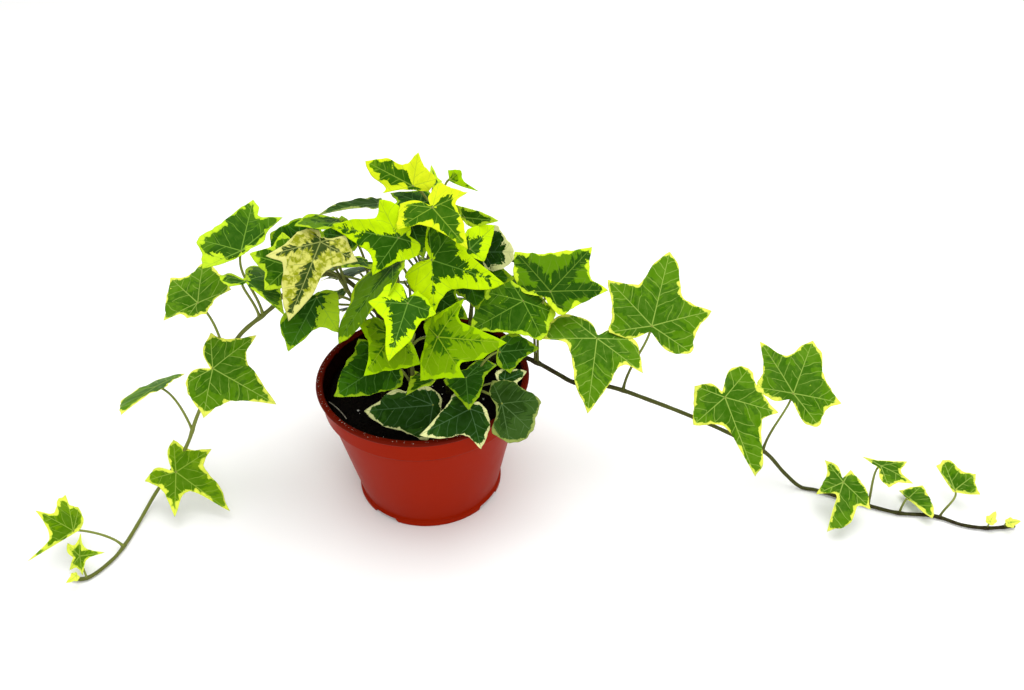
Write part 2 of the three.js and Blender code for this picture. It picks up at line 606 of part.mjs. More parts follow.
      edge: [[414, 190], [400, 190.5], [384, 194, 1], [386, 188], [371, 175], [366.3, 161.5, 1],
        [387, 158.5], [405, 165], [420, 152.5, 1], [424, 165], [435.5, 179, 1], [428, 190]] },
    { blade: [450.4, 179.6], tip: [479.5, 191.8], depth: 12, long: 18, form: 'sharp',
      edge: [[449, 181], [448, 170, 1], [462, 171, 1], [463, 179], [479.5, 191.8, 1], [460, 186]] },
    { blade: [434, 184], tip: [431, 164.5], depth: 22, long: 12, narrow: 0.6, form: 'sharp' },
    { blade: [420, 203], tip: [390, 193], depth: 4, long: 20, narrow: 0.6, form: 'broad' },
    { blade: [465, 217.5], tip: [498.9, 221], depth: 6, long: 21, form: 'sharp',
      edge: [[461, 218], [456, 205, 1], [472, 209], [486, 213.5], [498.9, 221, 1], [484, 225],
        [470, 226.5, 1]] },
    { blade: [411, 224], tip: [424, 258], depth: 6, long: 24 },
  ],
  // lime leaves, upper left
  stem_lime: [
    { blade: [398.5, 238], tip: [329.6, 226], depth: -18, long: 38, form: 'sharp',
      edge: [[409, 236], [419, 244, 1], [416, 256], [396, 263], [374.5, 275.5, 1], [372, 256], [348, 238],
        [329.8, 226.2, 1], [352, 219.5], [377, 217], [380.5, 199.5, 1], [397, 204], [411, 229, 1]] },
    { blade: [378, 204], tip: [317, 215.3], depth: 14, long: 34, narrow: 0.4, form: 'long',
      edge: [[386, 205], [381, 197.5, 1], [365, 199.5], [342, 205], [317, 215.3, 1], [338, 212],
        [356, 209.5], [377, 210.5, 1]] },
    { blade: [338, 219.5], tip: [294, 226], depth: 6, long: 27, narrow: 0.5, form: 'long',
      edge: [[345, 217.5], [337, 217.5], [322, 217], [307, 217, 1], [299, 221], [294, 226, 1],
        [306, 229.5], [324, 232, 1], [337, 226]] },
    { blade: [364, 262], tip: [337, 268], depth: 10, long: 20, narrow: 0.5, form: 'sharp' },
    { blade: [350, 237], tip: [320, 233], depth: 8, long: 20, form: 'sharp' },
  ],
  // right of the middle
  stem_centre: [
    { blade: [432, 260], tip: [506, 284], depth: -24.5, long: 40, form: 'sharp',
      edge: [[430, 259], [415, 263], [405, 276, 1], [411, 288], [436, 313.5, 1], [450, 291], [486, 290],
        [506, 284, 1], [466, 250], [455, 229, 1], [441, 228], [428, 220, 1], [425, 245]] },
    { blade: [470, 249], tip: [495.5, 224.5], depth: -12, long: 21, form: 'sharp',
      edge: [[466, 254], [463, 243], [467, 230, 1], [480, 226], [495.5, 224.5, 1], [491, 242],
        [484, 262, 1], [475, 259]] },
    { blade: [484, 252], tip: [514, 253], depth: 5, long: 21, form: 'broad',
      edge: [[481, 257], [482, 238, 1], [496, 225, 1], [507, 238], [514, 252, 1], [511, 263],
        [496, 271, 1], [486, 268]] },
    { blade: [468, 270], tip: [514, 279], depth: 10, long: 30 },
    { blade: [432, 292], tip: [467, 319], depth: -12, long: 28, lobes: [0.4, 0.6, 0.6, 0.3] },
  ],
  // front of the crown
  stem_front: [
    { blade: [407.6, 303.8], tip: [388, 362], depth: -46, long: 33, form: 'long',
      edge: [[408, 297], [401, 283], [389, 283, 1], [378, 297], [367.5, 304, 1], [384, 323], [385, 348],
        [388.3, 362.3, 1], [410, 341.5], [420, 324], [436, 315, 1], [428, 300], [418, 289, 1]] },
    { blade: [392, 334], tip: [364.2, 374.6], depth: -36, long: 33, form: 'sharp',
      edge: [[398, 329], [377, 318], [356.5, 326, 1], [366, 341], [367, 362], [364.2, 375.5, 1], [388, 372],
        [402, 370], [418, 366, 1], [412, 345]] },
    { blade: [438, 337], tip: [506.5, 342.7], depth: -44, long: 37, form: 'sharp',
      edge: [[425, 338], [424, 323, 1], [440, 313], [466, 298, 1], [460, 318], [486, 332],
        [506.5, 342.7, 1], [484, 358], [461.5, 365], [467.5, 378, 1], [443, 378.5], [420.5, 380.5, 1],
        [421, 357]] },
    { blade: [386, 362], tip: [333.5, 396.5], depth: -30, long: 35, form: 'round',
      edge: [[392, 358], [370, 342], [358, 338.5, 1], [353, 353], [345, 363], [333.5, 396.5, 1],
        [362, 396.5], [382, 392], [401, 386, 1], [403, 372]] },
    { blade: [433, 381], tip: [407, 396], depth: -36, long: 16, narrow: 0.6, form: 'long',
      edge: [[436, 379], [412, 371, 1], [409, 386], [406, 396, 1], [425, 387], [431, 387, 1]] },
    { blade: [393, 266], tip: [338.5, 346], depth: -20, long: 48, narrow: 0.42,
      lobes: [0.2, 0.48, 0.48, 0.2], form: 'long' },
    { blade: [433, 405], tip: [364.4, 411], depth: -38, long: 37, form: 'broad',
      edge: [[441, 408], [441, 397], [424, 385, 1], [406, 391], [396, 389, 1], [376, 403], [364.4, 411, 1],
        [378, 423], [408, 433.5], [427, 442, 1], [436, 428], [441, 418]] },
  ],
  // left of the crown
  stem_left: [
    { blade: [320.4, 242], tip: [288, 321], depth: -14, long: 44, form: 'sharp',
      edge: [[321, 237], [318, 229.5, 1], [300, 231], [288, 242], [265, 257.5, 1], [282, 266], [281, 290],
        [288.5, 321.5, 1], [310, 299], [326, 272], [357, 262.5, 1], [345, 235, 1], [331, 238]] },
    { blade: [316.5, 298], tip: [289, 350], depth: -22, long: 34, form: 'sharp',
      edge: [[319, 291], [300, 303], [281, 318, 1], [281, 335], [288.5, 351, 1], [304, 340], [317, 329],
        [338, 335, 1], [339, 311], [338, 291, 1], [326, 289]] },
    { blade: [302, 248], tip: [270, 234], depth: 20, long: 21, form: 'round' },
    { blade: [290, 266], tip: [250, 254], depth: -10, long: 24, form: 'broad' },
  ],
  // low on the right, by the rim
  stem_rim: [
    { blade: [470, 409], tip: [420, 435.5], depth: -46, long: 32,
      edge: [[474, 402], [455, 393, 1], [447, 404], [434, 419], [419.5, 435, 1], [440, 439], [465, 436],
        [481, 449.7, 1], [489, 432], [490, 415, 1], [481, 402]] },
    { blade: [502, 404], tip: [509.6, 442.8], depth: -40, long: 24, form: 'round',
      edge: [[496, 406], [489, 392], [491, 377, 1], [508, 377], [523, 387], [540, 399, 1], [536, 418],
        [532, 432, 1], [521, 441.5], [509.6, 443, 1], [492, 432, 1], [496, 417]] },
    { blade: [466, 378], tip: [469, 410.8], depth: -32, long: 26,
      edge: [[466, 366], [444, 379, 1], [455, 395], [469, 411, 1], [480, 396], [486, 375], [496, 361, 1],
        [486, 353.5, 1], [474, 358]] },
    { blade: [500, 352], tip: [538.6, 348], depth: -10, long: 24,
      edge: [[497, 352], [500, 338, 1], [514, 333.5, 1], [529, 341], [539.5, 348, 1], [521, 360],
        [510, 373.5, 1], [497, 364, 1]] },
    { blade: [504, 380], tip: [527, 371], depth: -18, long: 16, form: 'sharp' },
  ],
};

// Leaves behind, which only a look from another side shows: tiers round the back of the crown, each leaf
// at an angle from +X and at a height, on the stem that stands nearest.
const TIERS = [
  { height: 98, from: 30, to: 150, count: 6, long: 32 },
  { height: 124, from: 26, to: 154, count: 6, long: 32 },
  { height: 148, from: 36, to: 144, count: 4, long: 30 },
  { height: 166, from: 102, to: 60, count: 2, long: 26 },
];
const BACK_STEMS = [[60, 'stem_back_right'], [115, 'stem_back_middle'], [180, 'stem_back_left']];
const HIDDEN_LEAVES = TIERS.flatMap(({ height, from, to, count, long }, tier) => (
  Array.from({ length: count }, (_, i) => {
    const key = 100 + 10 * tier + i;
    const around = from + ((to - from) * i) / (count - 1);
    return {
      stem: BACK_STEMS.find(([limit]) => around <= limit)[1],
      around,
      height: height + (i % 2 ? 6 : -6) + 2 * wobble(key),
      long: long * (1 + 0.12 * wobble(key + 0.5)),
      sway: 14 * wobble(key + 0.25),
      tilt: 36 + 10 * wobble(key + 0.75),
      form: i % 3 ? 'broad' : 'sharp',
    };
  })
));

// One leafy stem: the stem with each of its leaves sunk into it.
function makeStem(stem) {
  const route = routeOf(stem);
  const steps = Math.round(route.getLength() / STEM.step);
  const parts = [solid(tube(route.points, STEM.radius, STEM.sides, steps))];
  const hidden = HIDDEN_LEAVES.filter((leaf) => leaf.stem === stem.name);
  const leaves = SEEN_LEAVES[stem.name] ?? hidden;
  leaves.forEach((leaf) => {
    const frame = leaf.blade ? seenFrame(leaf) : shingleFrame(leaf);
    parts.push(makeBlade(frame, leaf), makeStalk(frame, leaf, route));
  });
  return node(stem.name, wasm.Manifold.union(parts), colours[stem.colour]);
}

// ---------------------------------------------------------------- the whole plant

const ivy = new THREE.Group();
ivy.add(makePot(), makeSoil(STEMS));
STEMS.forEach((stem) => ivy.add(makeStem(stem)));

export default ivy;
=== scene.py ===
"""Potted ivy: a trailing, variegated ivy in a round nursery pot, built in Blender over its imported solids.

Every length in the tables is in millimetres and turns to metres when a mesh is made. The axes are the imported
part's own: +Z up, the origin under the middle of the pot, and -Y towards the side that is seen.
"""
import json
import math
from functools import partial
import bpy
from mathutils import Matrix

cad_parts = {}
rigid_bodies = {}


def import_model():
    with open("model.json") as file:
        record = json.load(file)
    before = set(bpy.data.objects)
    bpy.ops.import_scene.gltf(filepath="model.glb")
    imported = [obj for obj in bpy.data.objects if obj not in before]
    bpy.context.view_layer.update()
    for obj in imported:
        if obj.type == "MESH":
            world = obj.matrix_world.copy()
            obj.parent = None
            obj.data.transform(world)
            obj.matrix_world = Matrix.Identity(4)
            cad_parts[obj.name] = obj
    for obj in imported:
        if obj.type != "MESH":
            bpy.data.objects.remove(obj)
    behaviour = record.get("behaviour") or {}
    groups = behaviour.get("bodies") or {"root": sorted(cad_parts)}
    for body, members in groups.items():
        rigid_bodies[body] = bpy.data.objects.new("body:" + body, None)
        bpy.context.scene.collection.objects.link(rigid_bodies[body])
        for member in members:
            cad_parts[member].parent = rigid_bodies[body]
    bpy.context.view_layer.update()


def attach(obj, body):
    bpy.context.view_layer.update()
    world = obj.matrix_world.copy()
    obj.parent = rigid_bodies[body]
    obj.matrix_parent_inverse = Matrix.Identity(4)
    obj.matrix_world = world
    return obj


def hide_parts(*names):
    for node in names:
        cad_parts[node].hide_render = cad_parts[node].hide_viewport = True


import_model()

from types import SimpleNamespace as Sizes

import bpy
import numpy as np
from bpy.props import FloatProperty, FloatVectorProperty, IntProperty, PointerProperty, StringProperty
from bpy.types import Node, NodeSocket, Operator, Panel, PropertyGroup
from mathutils import Matrix

bl_info = {
    "name": "Potted ivy",
    "version": (1, 0, 0),
    "blender": (4, 5, 0),
    "location": "3D View > Sidebar > Ivy",
    "description": "Builds a trailing ivy, its pot and its soil over their packed solids",
    "category": "Add Mesh",
}

MM = 0.001  # one millimetre in metres
CIRCLE = 2 * np.pi  # once round, in radians
SEED = 7

# ---------------------------------------------------------------- the pot and the soil, in mm

POT = Sizes(rim=60.0, height=79.0, lip=2.0, collar=57.6, drop=15.0, shoulder=54.6, heel=41.2, foot=42.5,
            foot_height=3.0, foot_width=3.4, pad=22.0, wall=1.3, ease=0.45, span=2.5)
# Gaps in the foot ring, at angles from the front, and the holes in the bottom.
NOTCHES = Sizes(width=16.0, angles=(-35, 57, 147, 237), inside=0.9, top=0.1, slope=0.25)
DRAINS = Sizes(count=6, radius=3.0, ring=31.5, facets=24, depth=12)
SOIL = Sizes(level=69.5, gap=0.35, depth=18.0, mound=1.5, bump=1.1, foot=6.4, brim=60.5, around=220,
             rings=72, middle=0.6, sunk=0.7, fade=12)
CRUMBS = ((6, 0.5), (3, 0.45), (1.5, 0.35), (0.8, 0.2))  # on the soil's top: their size and their height
# Loose grains: how many, their least and greatest size, and how far they stay from the soil's edge, and the
# limits between which a grain's corners are pushed and the grain is stretched, as shares of its size.
LOOSE = Sizes(peat=(700, (0.7, 2.2), 1.5), perlite=(46, (0.5, 1.7), 2), dust=(90, (0.2, 0.6)),
              raised=0.1, push=(0.7, 1.15), stretch=(0.6, 1.1))
DUSTY = Sizes(first=-120, turn=150, inside=0.7, width=2.2)  # the stretch of the lip with perlite dust
# The dry root's way: as seen (across, down), and its height over the soil's level.
ROOT = Sizes(way=((328.8, 401.8, 2.2), (334, 405.5, 2.6), (341, 412, 2.4), (346.6, 419, 1.6)), radius=0.28,
             step=0.8, around=6)
# The lower and the upper end of the pot's inside wall, as radius and height.
INSIDE_LOW = (POT.heel - POT.wall + 0.3, POT.foot_height + POT.wall + 1)
INSIDE_HIGH = (POT.shoulder - POT.wall, POT.height - POT.drop - 2.2)

# ---------------------------------------------------------------- leaves and stems, in mm

# The camera, which also places leaves and vines: a point seen is (across, down) in a 1024 x 690 frame.
VIEW = Sizes(focal=1000.0, middle=(512.0, 345.0), pitch=36.4, roll=-0.8, distance=552.0,
             target=(50.4, 0.0, 97.8))

# A blade's waves, the round of its fold and its puckers, as shares of its length, how many waves and puckers
# go round, and the share of its thickness that is gone at the edge.
BLADE = Sizes(wave=0.022, waves=5, crease=0.05, pucker=0.012, puckers=9, thinner=0.5)
RINGS = (0.06, 0.13, 0.21, 0.3, 0.4, 0.5, 0.6, 0.7, 0.79, 0.87, 0.94, 0.98)  # shares of the way to the edge
RIPPLES = ((0.012, 17), (0.008, 31))  # of the edge: their height, as a share, and how many go round
SMALL_LEAF = Sizes(long=12, steps=3)  # up to this length, fewer steps of the edge are enough
LEAST_TURN = 0.004  # between two stations of a blade's edge, in radians
BLUNT = -0.2  # cosine of the widest lobe that still ends in a point
PALE_EDGE = 0.4  # over which a pale sector ends: an angle in radians, and a share of the way out
NOTCH = 0.13  # the blade behind its stalk, as a share of its length
NOTCH_ROUND = 0.8  # below 1, so that the base lobes are full on the side of the notch
TURNS = (122, 58)  # angles of the base lobes and of the side lobes from the tip

# A stalk: its radius and how that changes along it, how it runs, and where it may leave the stem.
STALK = Sizes(radius=0.7, small=0.45, full=45, thick=1.12, swell=0.45, swollen=0.06, thinner=0.2, end=0.2,
              sink=1.2, under_face=0.25, rise=0.3, lean=0.12, behind=0.26, under=0.2, steps=22, around=8,
              reach=0.8, clear=5.0, below=3.0, bark_at=0.6, greening=1.6)
FOOT_COST = Sizes(gap=0.6, high=4, buried=9)  # of a foot far from its leaf, above it or near the soil
# A stem: its radius and how that changes along it, and the size of its knots and of its unevenness.
STEM = Sizes(radius=1.3, floor=1.7, step=1.6, around=12, thick=1.04, thinner=0.28, knot=0.22, knot_long=1.8,
             knot_most=1.3, uneven=0.05, waves=(2.3, 5.1))

# Each form of leaf: its lobes' lengths, the depth of the cuts, how pointed it is and how it bends.
FORMS = {
    "broad": Sizes(lobes=(0.5, 0.76, 0.76, 0.5), cuts=(0.68, 0.8), point=1.5, fold=0.07, droop=0.13),
    "sharp": Sizes(lobes=(0.4, 0.62, 0.62, 0.4), cuts=(0.64, 0.76), point=1.45, fold=0.12, droop=0.1),
    "long": Sizes(lobes=(0.34, 0.52, 0.52, 0.34), cuts=(0.86, 0.82), point=1.3, fold=0.12, droop=0.12),
    "round": Sizes(lobes=(0.68, 0.8, 0.8, 0.68), cuts=(0.88, 0.9), point=1.2, fold=0.05, droop=0.12),
    "bud": Sizes(lobes=(0.3, 0.45, 0.45, 0.3), cuts=(0.7, 0.8), point=1.3, fold=0.3, droop=0.05),
}


def stem_row(slot, root, bark, climb, seen=(), lying=()):
    """One stem: its material slot, where it is rooted, how woody it is from its root to its end, its way up
    through the crown, its way as seen (across, down, depth), and the stretch on the floor (across, down)."""
    return Sizes(slot=slot, root=root, bark=bark, climb=climb, seen=seen, lying=lying)


LIME_BARK, BACK_BARK = (1.0, 0.9, 0.6, 0.1), (1.0, 0.7, 0.3)
STEMS = {
    "vine_left": stem_row(
        "ivy_green", (-14, 5), (1.0, 0.9, 0.45, 0.1, 0.2, 0.6),
        [(-16, 4, 96), (-24, 3, 122), (-40, 3, 142), (-58, 4, 142), (-71, 4, 131)],
        [(272.6, 307, 3), (263, 315, 2), (240, 335, 0), (221, 368, -4), (198, 414, -8), (187, 445, -11),
         (172, 470, -14), (157, 491, -18)],
        [(139, 522), (125, 544.5), (112, 560), (87, 578), (72, 579)]),
    "vine_right": stem_row(
        "ivy_green", (30, 2), (1.0, 0.95, 0.7, 0.75, 0.9, 1.0), [(33, 2, 82), (44, 2, 89)],
        [(523, 357, 3), (538, 363, 1), (559, 374.6, -1), (573, 382, -2), (611, 387, -4), (652, 401, -7),
         (692, 416.6, -9), (735, 436, -11), (766, 453, -12), (785, 473.6, -14)],
        [(801, 487), (816, 490), (872, 506.5), (899, 513), (934.5, 516), (963, 525), (987, 528),
         (1014.6, 526)]),
    "stem_top": stem_row(
        "ivy_lime", (4, 12), LIME_BARK, [(4, 11, 100), (5, 9, 130), (9, 6, 155), (13, 3, 172)]),
    "stem_lime": stem_row(
        "ivy_lime", (-6, -6), LIME_BARK, [(-7, -7, 100), (-8, -4, 130), (-10, 0, 150)]),
    "stem_centre": stem_row(
        "ivy_lime", (14, -8), LIME_BARK, [(15, -10, 100), (17, -12, 130), (20, -14, 146)]),
    "stem_front": stem_row(
        "ivy_lime", (-1, -26), LIME_BARK, [(-2, -28, 95), (-2, -29, 115), (0, -30, 128)]),
    "stem_left": stem_row(
        "ivy_dark", (-22, -10), (1.0, 0.9, 0.7, 0.4), [(-22, -11, 95), (-27, -10, 122), (-38, -6, 146)]),
    "stem_rim": stem_row("ivy_dark", (26, -24), (1.0, 0.8, 0.6), [(28, -26, 84), (31, -26, 94)]),
    "stem_back_left": stem_row("ivy_green", (-22, 20), BACK_BARK, [(-25, 23, 100), (-29, 27, 128)]),
    "stem_back_right": stem_row("ivy_green", (24, 20), BACK_BARK, [(27, 23, 100), (30, 27, 128)]),
    "stem_back_middle": stem_row("ivy_green", (2, 34), BACK_BARK, [(2, 36, 95), (1, 36, 118)]),
}


def leaf(blade, tip, depth, long, form="broad", look="mature", **more):
    """One leaf that is seen: where its stalk meets the blade and where its tip is in the view, the joint's
    depth behind the pot's axis, its length, its form and its look. more may hold edge (the corners of its
    outline as seen, from the notch round, with a 1 at a lobe's tip), lobes (without an edge: their lengths),
    stalk (where the stalk leaves the stem), narrow (how far it is turned on edge), and pale (sectors with no
    green: from one of the edge's corners, by number, to another, and the share of the way out from which it
    is missing)."""
    return dict(blade=blade, tip=tip, depth=depth, long=long, form=form, look=look, **more)


SEEN_LEAVES = {}
SEEN_LEAVES["vine_left"] = [
    leaf((241, 251), (253.5, 198), 2, 34, look="glade", stalk=(263, 315), pale=[(1, 3, 0.4)], edge=[
        (243, 255), (222, 263), (202, 266.5, 1), (202, 254), (197, 239, 1), (217, 227), (253.5, 198, 1),
        (259, 208), (257, 216.5), (282, 219, 1), (268, 232), (263, 243, 1), (250, 250)]),
    leaf((198, 303), (171, 278.5), 3, 30, stalk=(226, 358), edge=[
        (204, 312.5), (187, 318, 1), (183, 315), (164, 321, 1), (168, 298), (171, 278.5, 1), (187, 277),
        (205, 264, 1), (219, 273), (230, 288, 1), (214, 299), (209, 306)]),
    leaf((246, 281), (284, 317.6), -6, 32, look="glade", narrow=0.6, stalk=(260, 318), edge=[
        (246, 284), (236, 286.5), (228, 288.5, 1), (220, 275, 1), (233, 271.5), (244, 278), (247, 266),
        (256, 260.5, 1), (280, 270, 1), (280, 292), (284, 317.6, 1), (260, 298)]),
    leaf((213, 368.5), (274.5, 403), -16, 41, stalk=(222, 366), edge=[
        (210, 368), (201, 351), (209, 332, 1), (224, 338.5), (257, 335.5, 1), (247, 358), (260, 378),
        (274.5, 403.5, 1), (228, 403), (204, 418, 1), (184.5, 383, 1), (193, 369)]),
    leaf((156, 387), (121, 415.5), 0, 28, narrow=0.35, stalk=(191, 430), edge=[
        (164, 390), (149, 396), (130, 409), (121, 415.5, 1), (123, 400), (134, 392, 1), (160, 374),
        (181, 366.5, 1), (172, 379)]),
    leaf((176, 472), (229.5, 511), -22, 38, look="fresh", stalk=(180, 458), edge=[
        (171.5, 470.5), (167, 452), (173, 438.5, 1), (188, 449), (212, 449, 1), (204, 465), (220, 487),
        (229.6, 511, 1), (187, 492), (175, 517.5, 1), (161, 489), (144.5, 481, 1), (156, 467.5)]),
    leaf((73, 531), (27, 562), -59, 33, look="fresh", stalk=(123, 546.5), edge=[
        (75, 533), (55, 545), (27, 562, 1), (48, 537), (35, 511, 1), (53, 513), (58, 500), (68, 493, 1),
        (71, 504), (81, 506, 1), (85, 521, 1), (81, 529)]),
    leaf((80, 556), (104, 553), -71, 15, "round", "fresh", stalk=(87, 578), edge=[
        (72, 558), (65, 552), (65, 543, 1), (74, 545), (80, 533.5, 1), (85, 547), (105, 552.5, 1),
        (87, 560), (83, 575, 1), (76, 568), (67, 571, 1)]),
    leaf((76, 576), (66, 583), -82, 7, "bud", "fresh", stalk=(80, 579)),
]
SEEN_LEAVES["vine_right"] = [
    leaf((523, 301), (470, 331), 6, 34, look="glade", stalk=(536, 361), edge=[
        (545, 298), (516, 284), (504, 272, 1), (494, 284), (484, 292, 1), (476, 303), (470, 331, 1),
        (500, 332.5), (526, 336), (543, 339.5, 1), (552, 322), (557, 313, 1), (548, 302)]),
    leaf((550.5, 291.5), (592, 248), 10, 35, look="sector", stalk=(538, 362), edge=[
        (545, 297), (523, 291, 1), (514, 275), (515, 251, 1), (541, 254), (568, 251), (592, 247, 1),
        (590, 277), (608, 291, 1), (575, 307), (561, 315, 1), (549, 304)]),
    leaf((597, 338.4), (587.5, 413), -2, 42, stalk=(576, 383), edge=[
        (598, 335), (591, 322), (566, 313, 1), (550, 321), (543, 339, 1), (566, 344), (576, 387),
        (587.5, 413, 1), (606, 390), (622, 366), (643, 374, 1), (635, 340, 1), (612, 329)]),
    leaf((651.8, 326), (669.6, 253), 0, 43, stalk=(623, 389), edge=[
        (650.5, 331.5), (631, 338), (608, 332, 1), (612, 313), (607.5, 279, 1), (638, 285), (656, 261),
        (669.6, 252.5, 1), (678, 264), (684, 299.5), (712, 311, 1), (696, 333), (691, 352, 1),
        (669, 351)]),
    leaf((725, 397.4), (755.7, 478), -20, 47, stalk=(738, 438), edge=[
        (722, 391), (711, 383), (694, 385, 1), (693, 426, 1), (724, 427), (741, 452), (755.7, 478, 1),
        (763, 462), (763, 421), (778, 413, 1), (758, 388), (749, 368, 1), (731, 367)]),
    leaf((793.4, 393.5), (812.7, 341), -4, 35, stalk=(763, 451), edge=[
        (791, 399), (775, 400), (757, 387, 1), (763, 371), (760, 341, 1), (787, 357), (800, 347),
        (812.7, 341, 1), (821, 352), (824, 378), (841, 403, 1), (826, 410), (819, 425, 1), (807, 423)]),
    leaf((843.4, 482.3), (827, 531.7), -33, 31, stalk=(838, 497), edge=[
        (842.5, 478), (837, 464), (825, 459, 1), (827, 473), (816, 495, 1), (836, 495), (832, 512),
        (827, 531.7, 1), (850, 524), (858, 507), (870.5, 509, 1), (866, 489), (851, 469, 1)]),
    leaf((880.7, 466), (913.6, 484), -20, 23, narrow=0.8, stalk=(868, 505), edge=[
        (879, 469), (861, 452, 1), (877, 459), (908, 463, 1), (901, 472), (913.6, 484, 1), (898, 484),
        (889, 489, 1), (880, 479)]),
    leaf((909, 498), (932, 518.5), -31, 19, narrow=0.85, stalk=(899, 513), edge=[
        (908, 500), (899, 489, 1), (911, 486), (923, 484, 1), (927, 493), (934, 510), (932.5, 518.5, 1),
        (922, 512), (915, 505.5, 1)]),
    leaf((955, 490), (941, 461), -32, 19, stalk=(940, 517), edge=[
        (953, 492), (944, 479), (936, 466, 1), (940, 464), (943, 459.5, 1), (951, 461), (962, 471),
        (976, 474, 1), (975.5, 483), (980, 494, 1), (968, 494)]),
    leaf((990, 522), (996, 511), -52, 8, "bud", stalk=(987, 528)),
    leaf((1008, 523), (1021, 521), -53, 8, "bud", stalk=(1004, 527)),
]
SEEN_LEAVES["stem_top"] = [
    leaf((432.6, 207.7), (468, 249), -18, 31, "sharp", "golden", pale=[(10, 12, 0.15), (9, 10, 0.6), (2,
         4, 0.8)], edge=[
        (430, 205), (415, 199), (399, 203, 1), (397, 217), (397, 230.5, 1), (423, 226), (468.5, 249.5, 1),
        (465, 226), (457.5, 203), (469, 194, 1), (452, 188.5), (439, 183, 1), (428, 195)]),
    leaf((413, 186), (366.3, 161.9), 8, 30, "sharp", "golden", pale=[(7, 11, 0.0)], edge=[
        (414, 190), (400, 190.5), (384, 194, 1), (386, 188), (371, 175), (366.3, 161.5, 1), (387, 158.5),
        (405, 165), (420, 152.5, 1), (424, 165), (435.5, 179, 1), (428, 190)]),
    leaf((450.4, 179.6), (479.5, 191.8), 12, 18, "sharp", "lime", edge=[
        (449, 181), (448, 170, 1), (462, 171, 1), (463, 179), (479.5, 191.8, 1), (460, 186)]),
    leaf((434, 184), (431, 164.5), 22, 12, "sharp", "glade", narrow=0.6),
    leaf((420, 203), (390, 193), 4, 20, "broad", "dark", narrow=0.6),
    leaf((465, 217.5), (498.9, 221), 6, 21, "sharp", "glade", edge=[
        (461, 218), (456, 205, 1), (472, 209), (486, 213.5), (498.9, 221, 1), (484, 225),
        (470, 226.5, 1)]),
    leaf((411, 224), (424, 258), 6, 24, look="dark"),
]
SEEN_LEAVES["stem_lime"] = [
    leaf((398.5, 238), (329.6, 226), -18, 38, "sharp", "half", pale=[(7, 12, 0.2), (1, 3, 0.55)], edge=[
        (409, 236), (419, 244, 1), (416, 256), (396, 263), (374.5, 275.5, 1), (372, 256), (348, 238),
        (329.8, 226.2, 1), (352, 219.5), (377, 217), (380.5, 199.5, 1), (397, 204), (411, 229, 1)]),
    leaf((378, 204), (317, 215.3), 14, 34, "long", "dull", narrow=0.4, edge=[
        (386, 205), (381, 197.5, 1), (365, 199.5), (342, 205), (317, 215.3, 1), (338, 212), (356, 209.5),
        (377, 210.5, 1)]),
    leaf((338, 219.5), (294, 226), 6, 27, "long", "streaked", narrow=0.5, edge=[
        (345, 217.5), (337, 217.5), (322, 217), (307, 217, 1), (299, 221), (294, 226, 1), (306, 229.5),
        (324, 232, 1), (337, 226)]),
    leaf((364, 262), (337, 268), 10, 20, "sharp", "glade", narrow=0.5),
    leaf((350, 237), (320, 233), 8, 20, "sharp", "dark"),
]
SEEN_LEAVES["stem_centre"] = [
    leaf((432, 260), (506, 284), -24.5, 40, "sharp", "half", pale=[(1, 4, 0.0), (4, 7, 0.62), (7, 8,
         0.75)], edge=[
        (430, 259), (415, 263), (405, 276, 1), (411, 288), (436, 313.5, 1), (450, 291), (486, 290),
        (506, 284, 1), (466, 250), (455, 229, 1), (441, 228), (428, 220, 1), (425, 245)]),
    leaf((470, 249), (495.5, 224.5), -12, 21, "sharp", "half", pale=[(2, 6, 0.5)], edge=[
        (466, 254), (463, 243), (467, 230, 1), (480, 226), (495.5, 224.5, 1), (491, 242), (484, 262, 1),
        (475, 259)]),
    leaf((484, 252), (514, 253), 5, 21, "broad", "cream", pale=[(3, 6, 0.75)], edge=[
        (481, 257), (482, 238, 1), (496, 225, 1), (507, 238), (514, 252, 1), (511, 263), (496, 271, 1),
        (486, 268)]),
    leaf((468, 270), (514, 279), 10, 30, look="dark"),
    leaf((432, 292), (467, 319), -12, 28, look="dark", lobes=(0.4, 0.6, 0.6, 0.3)),
]
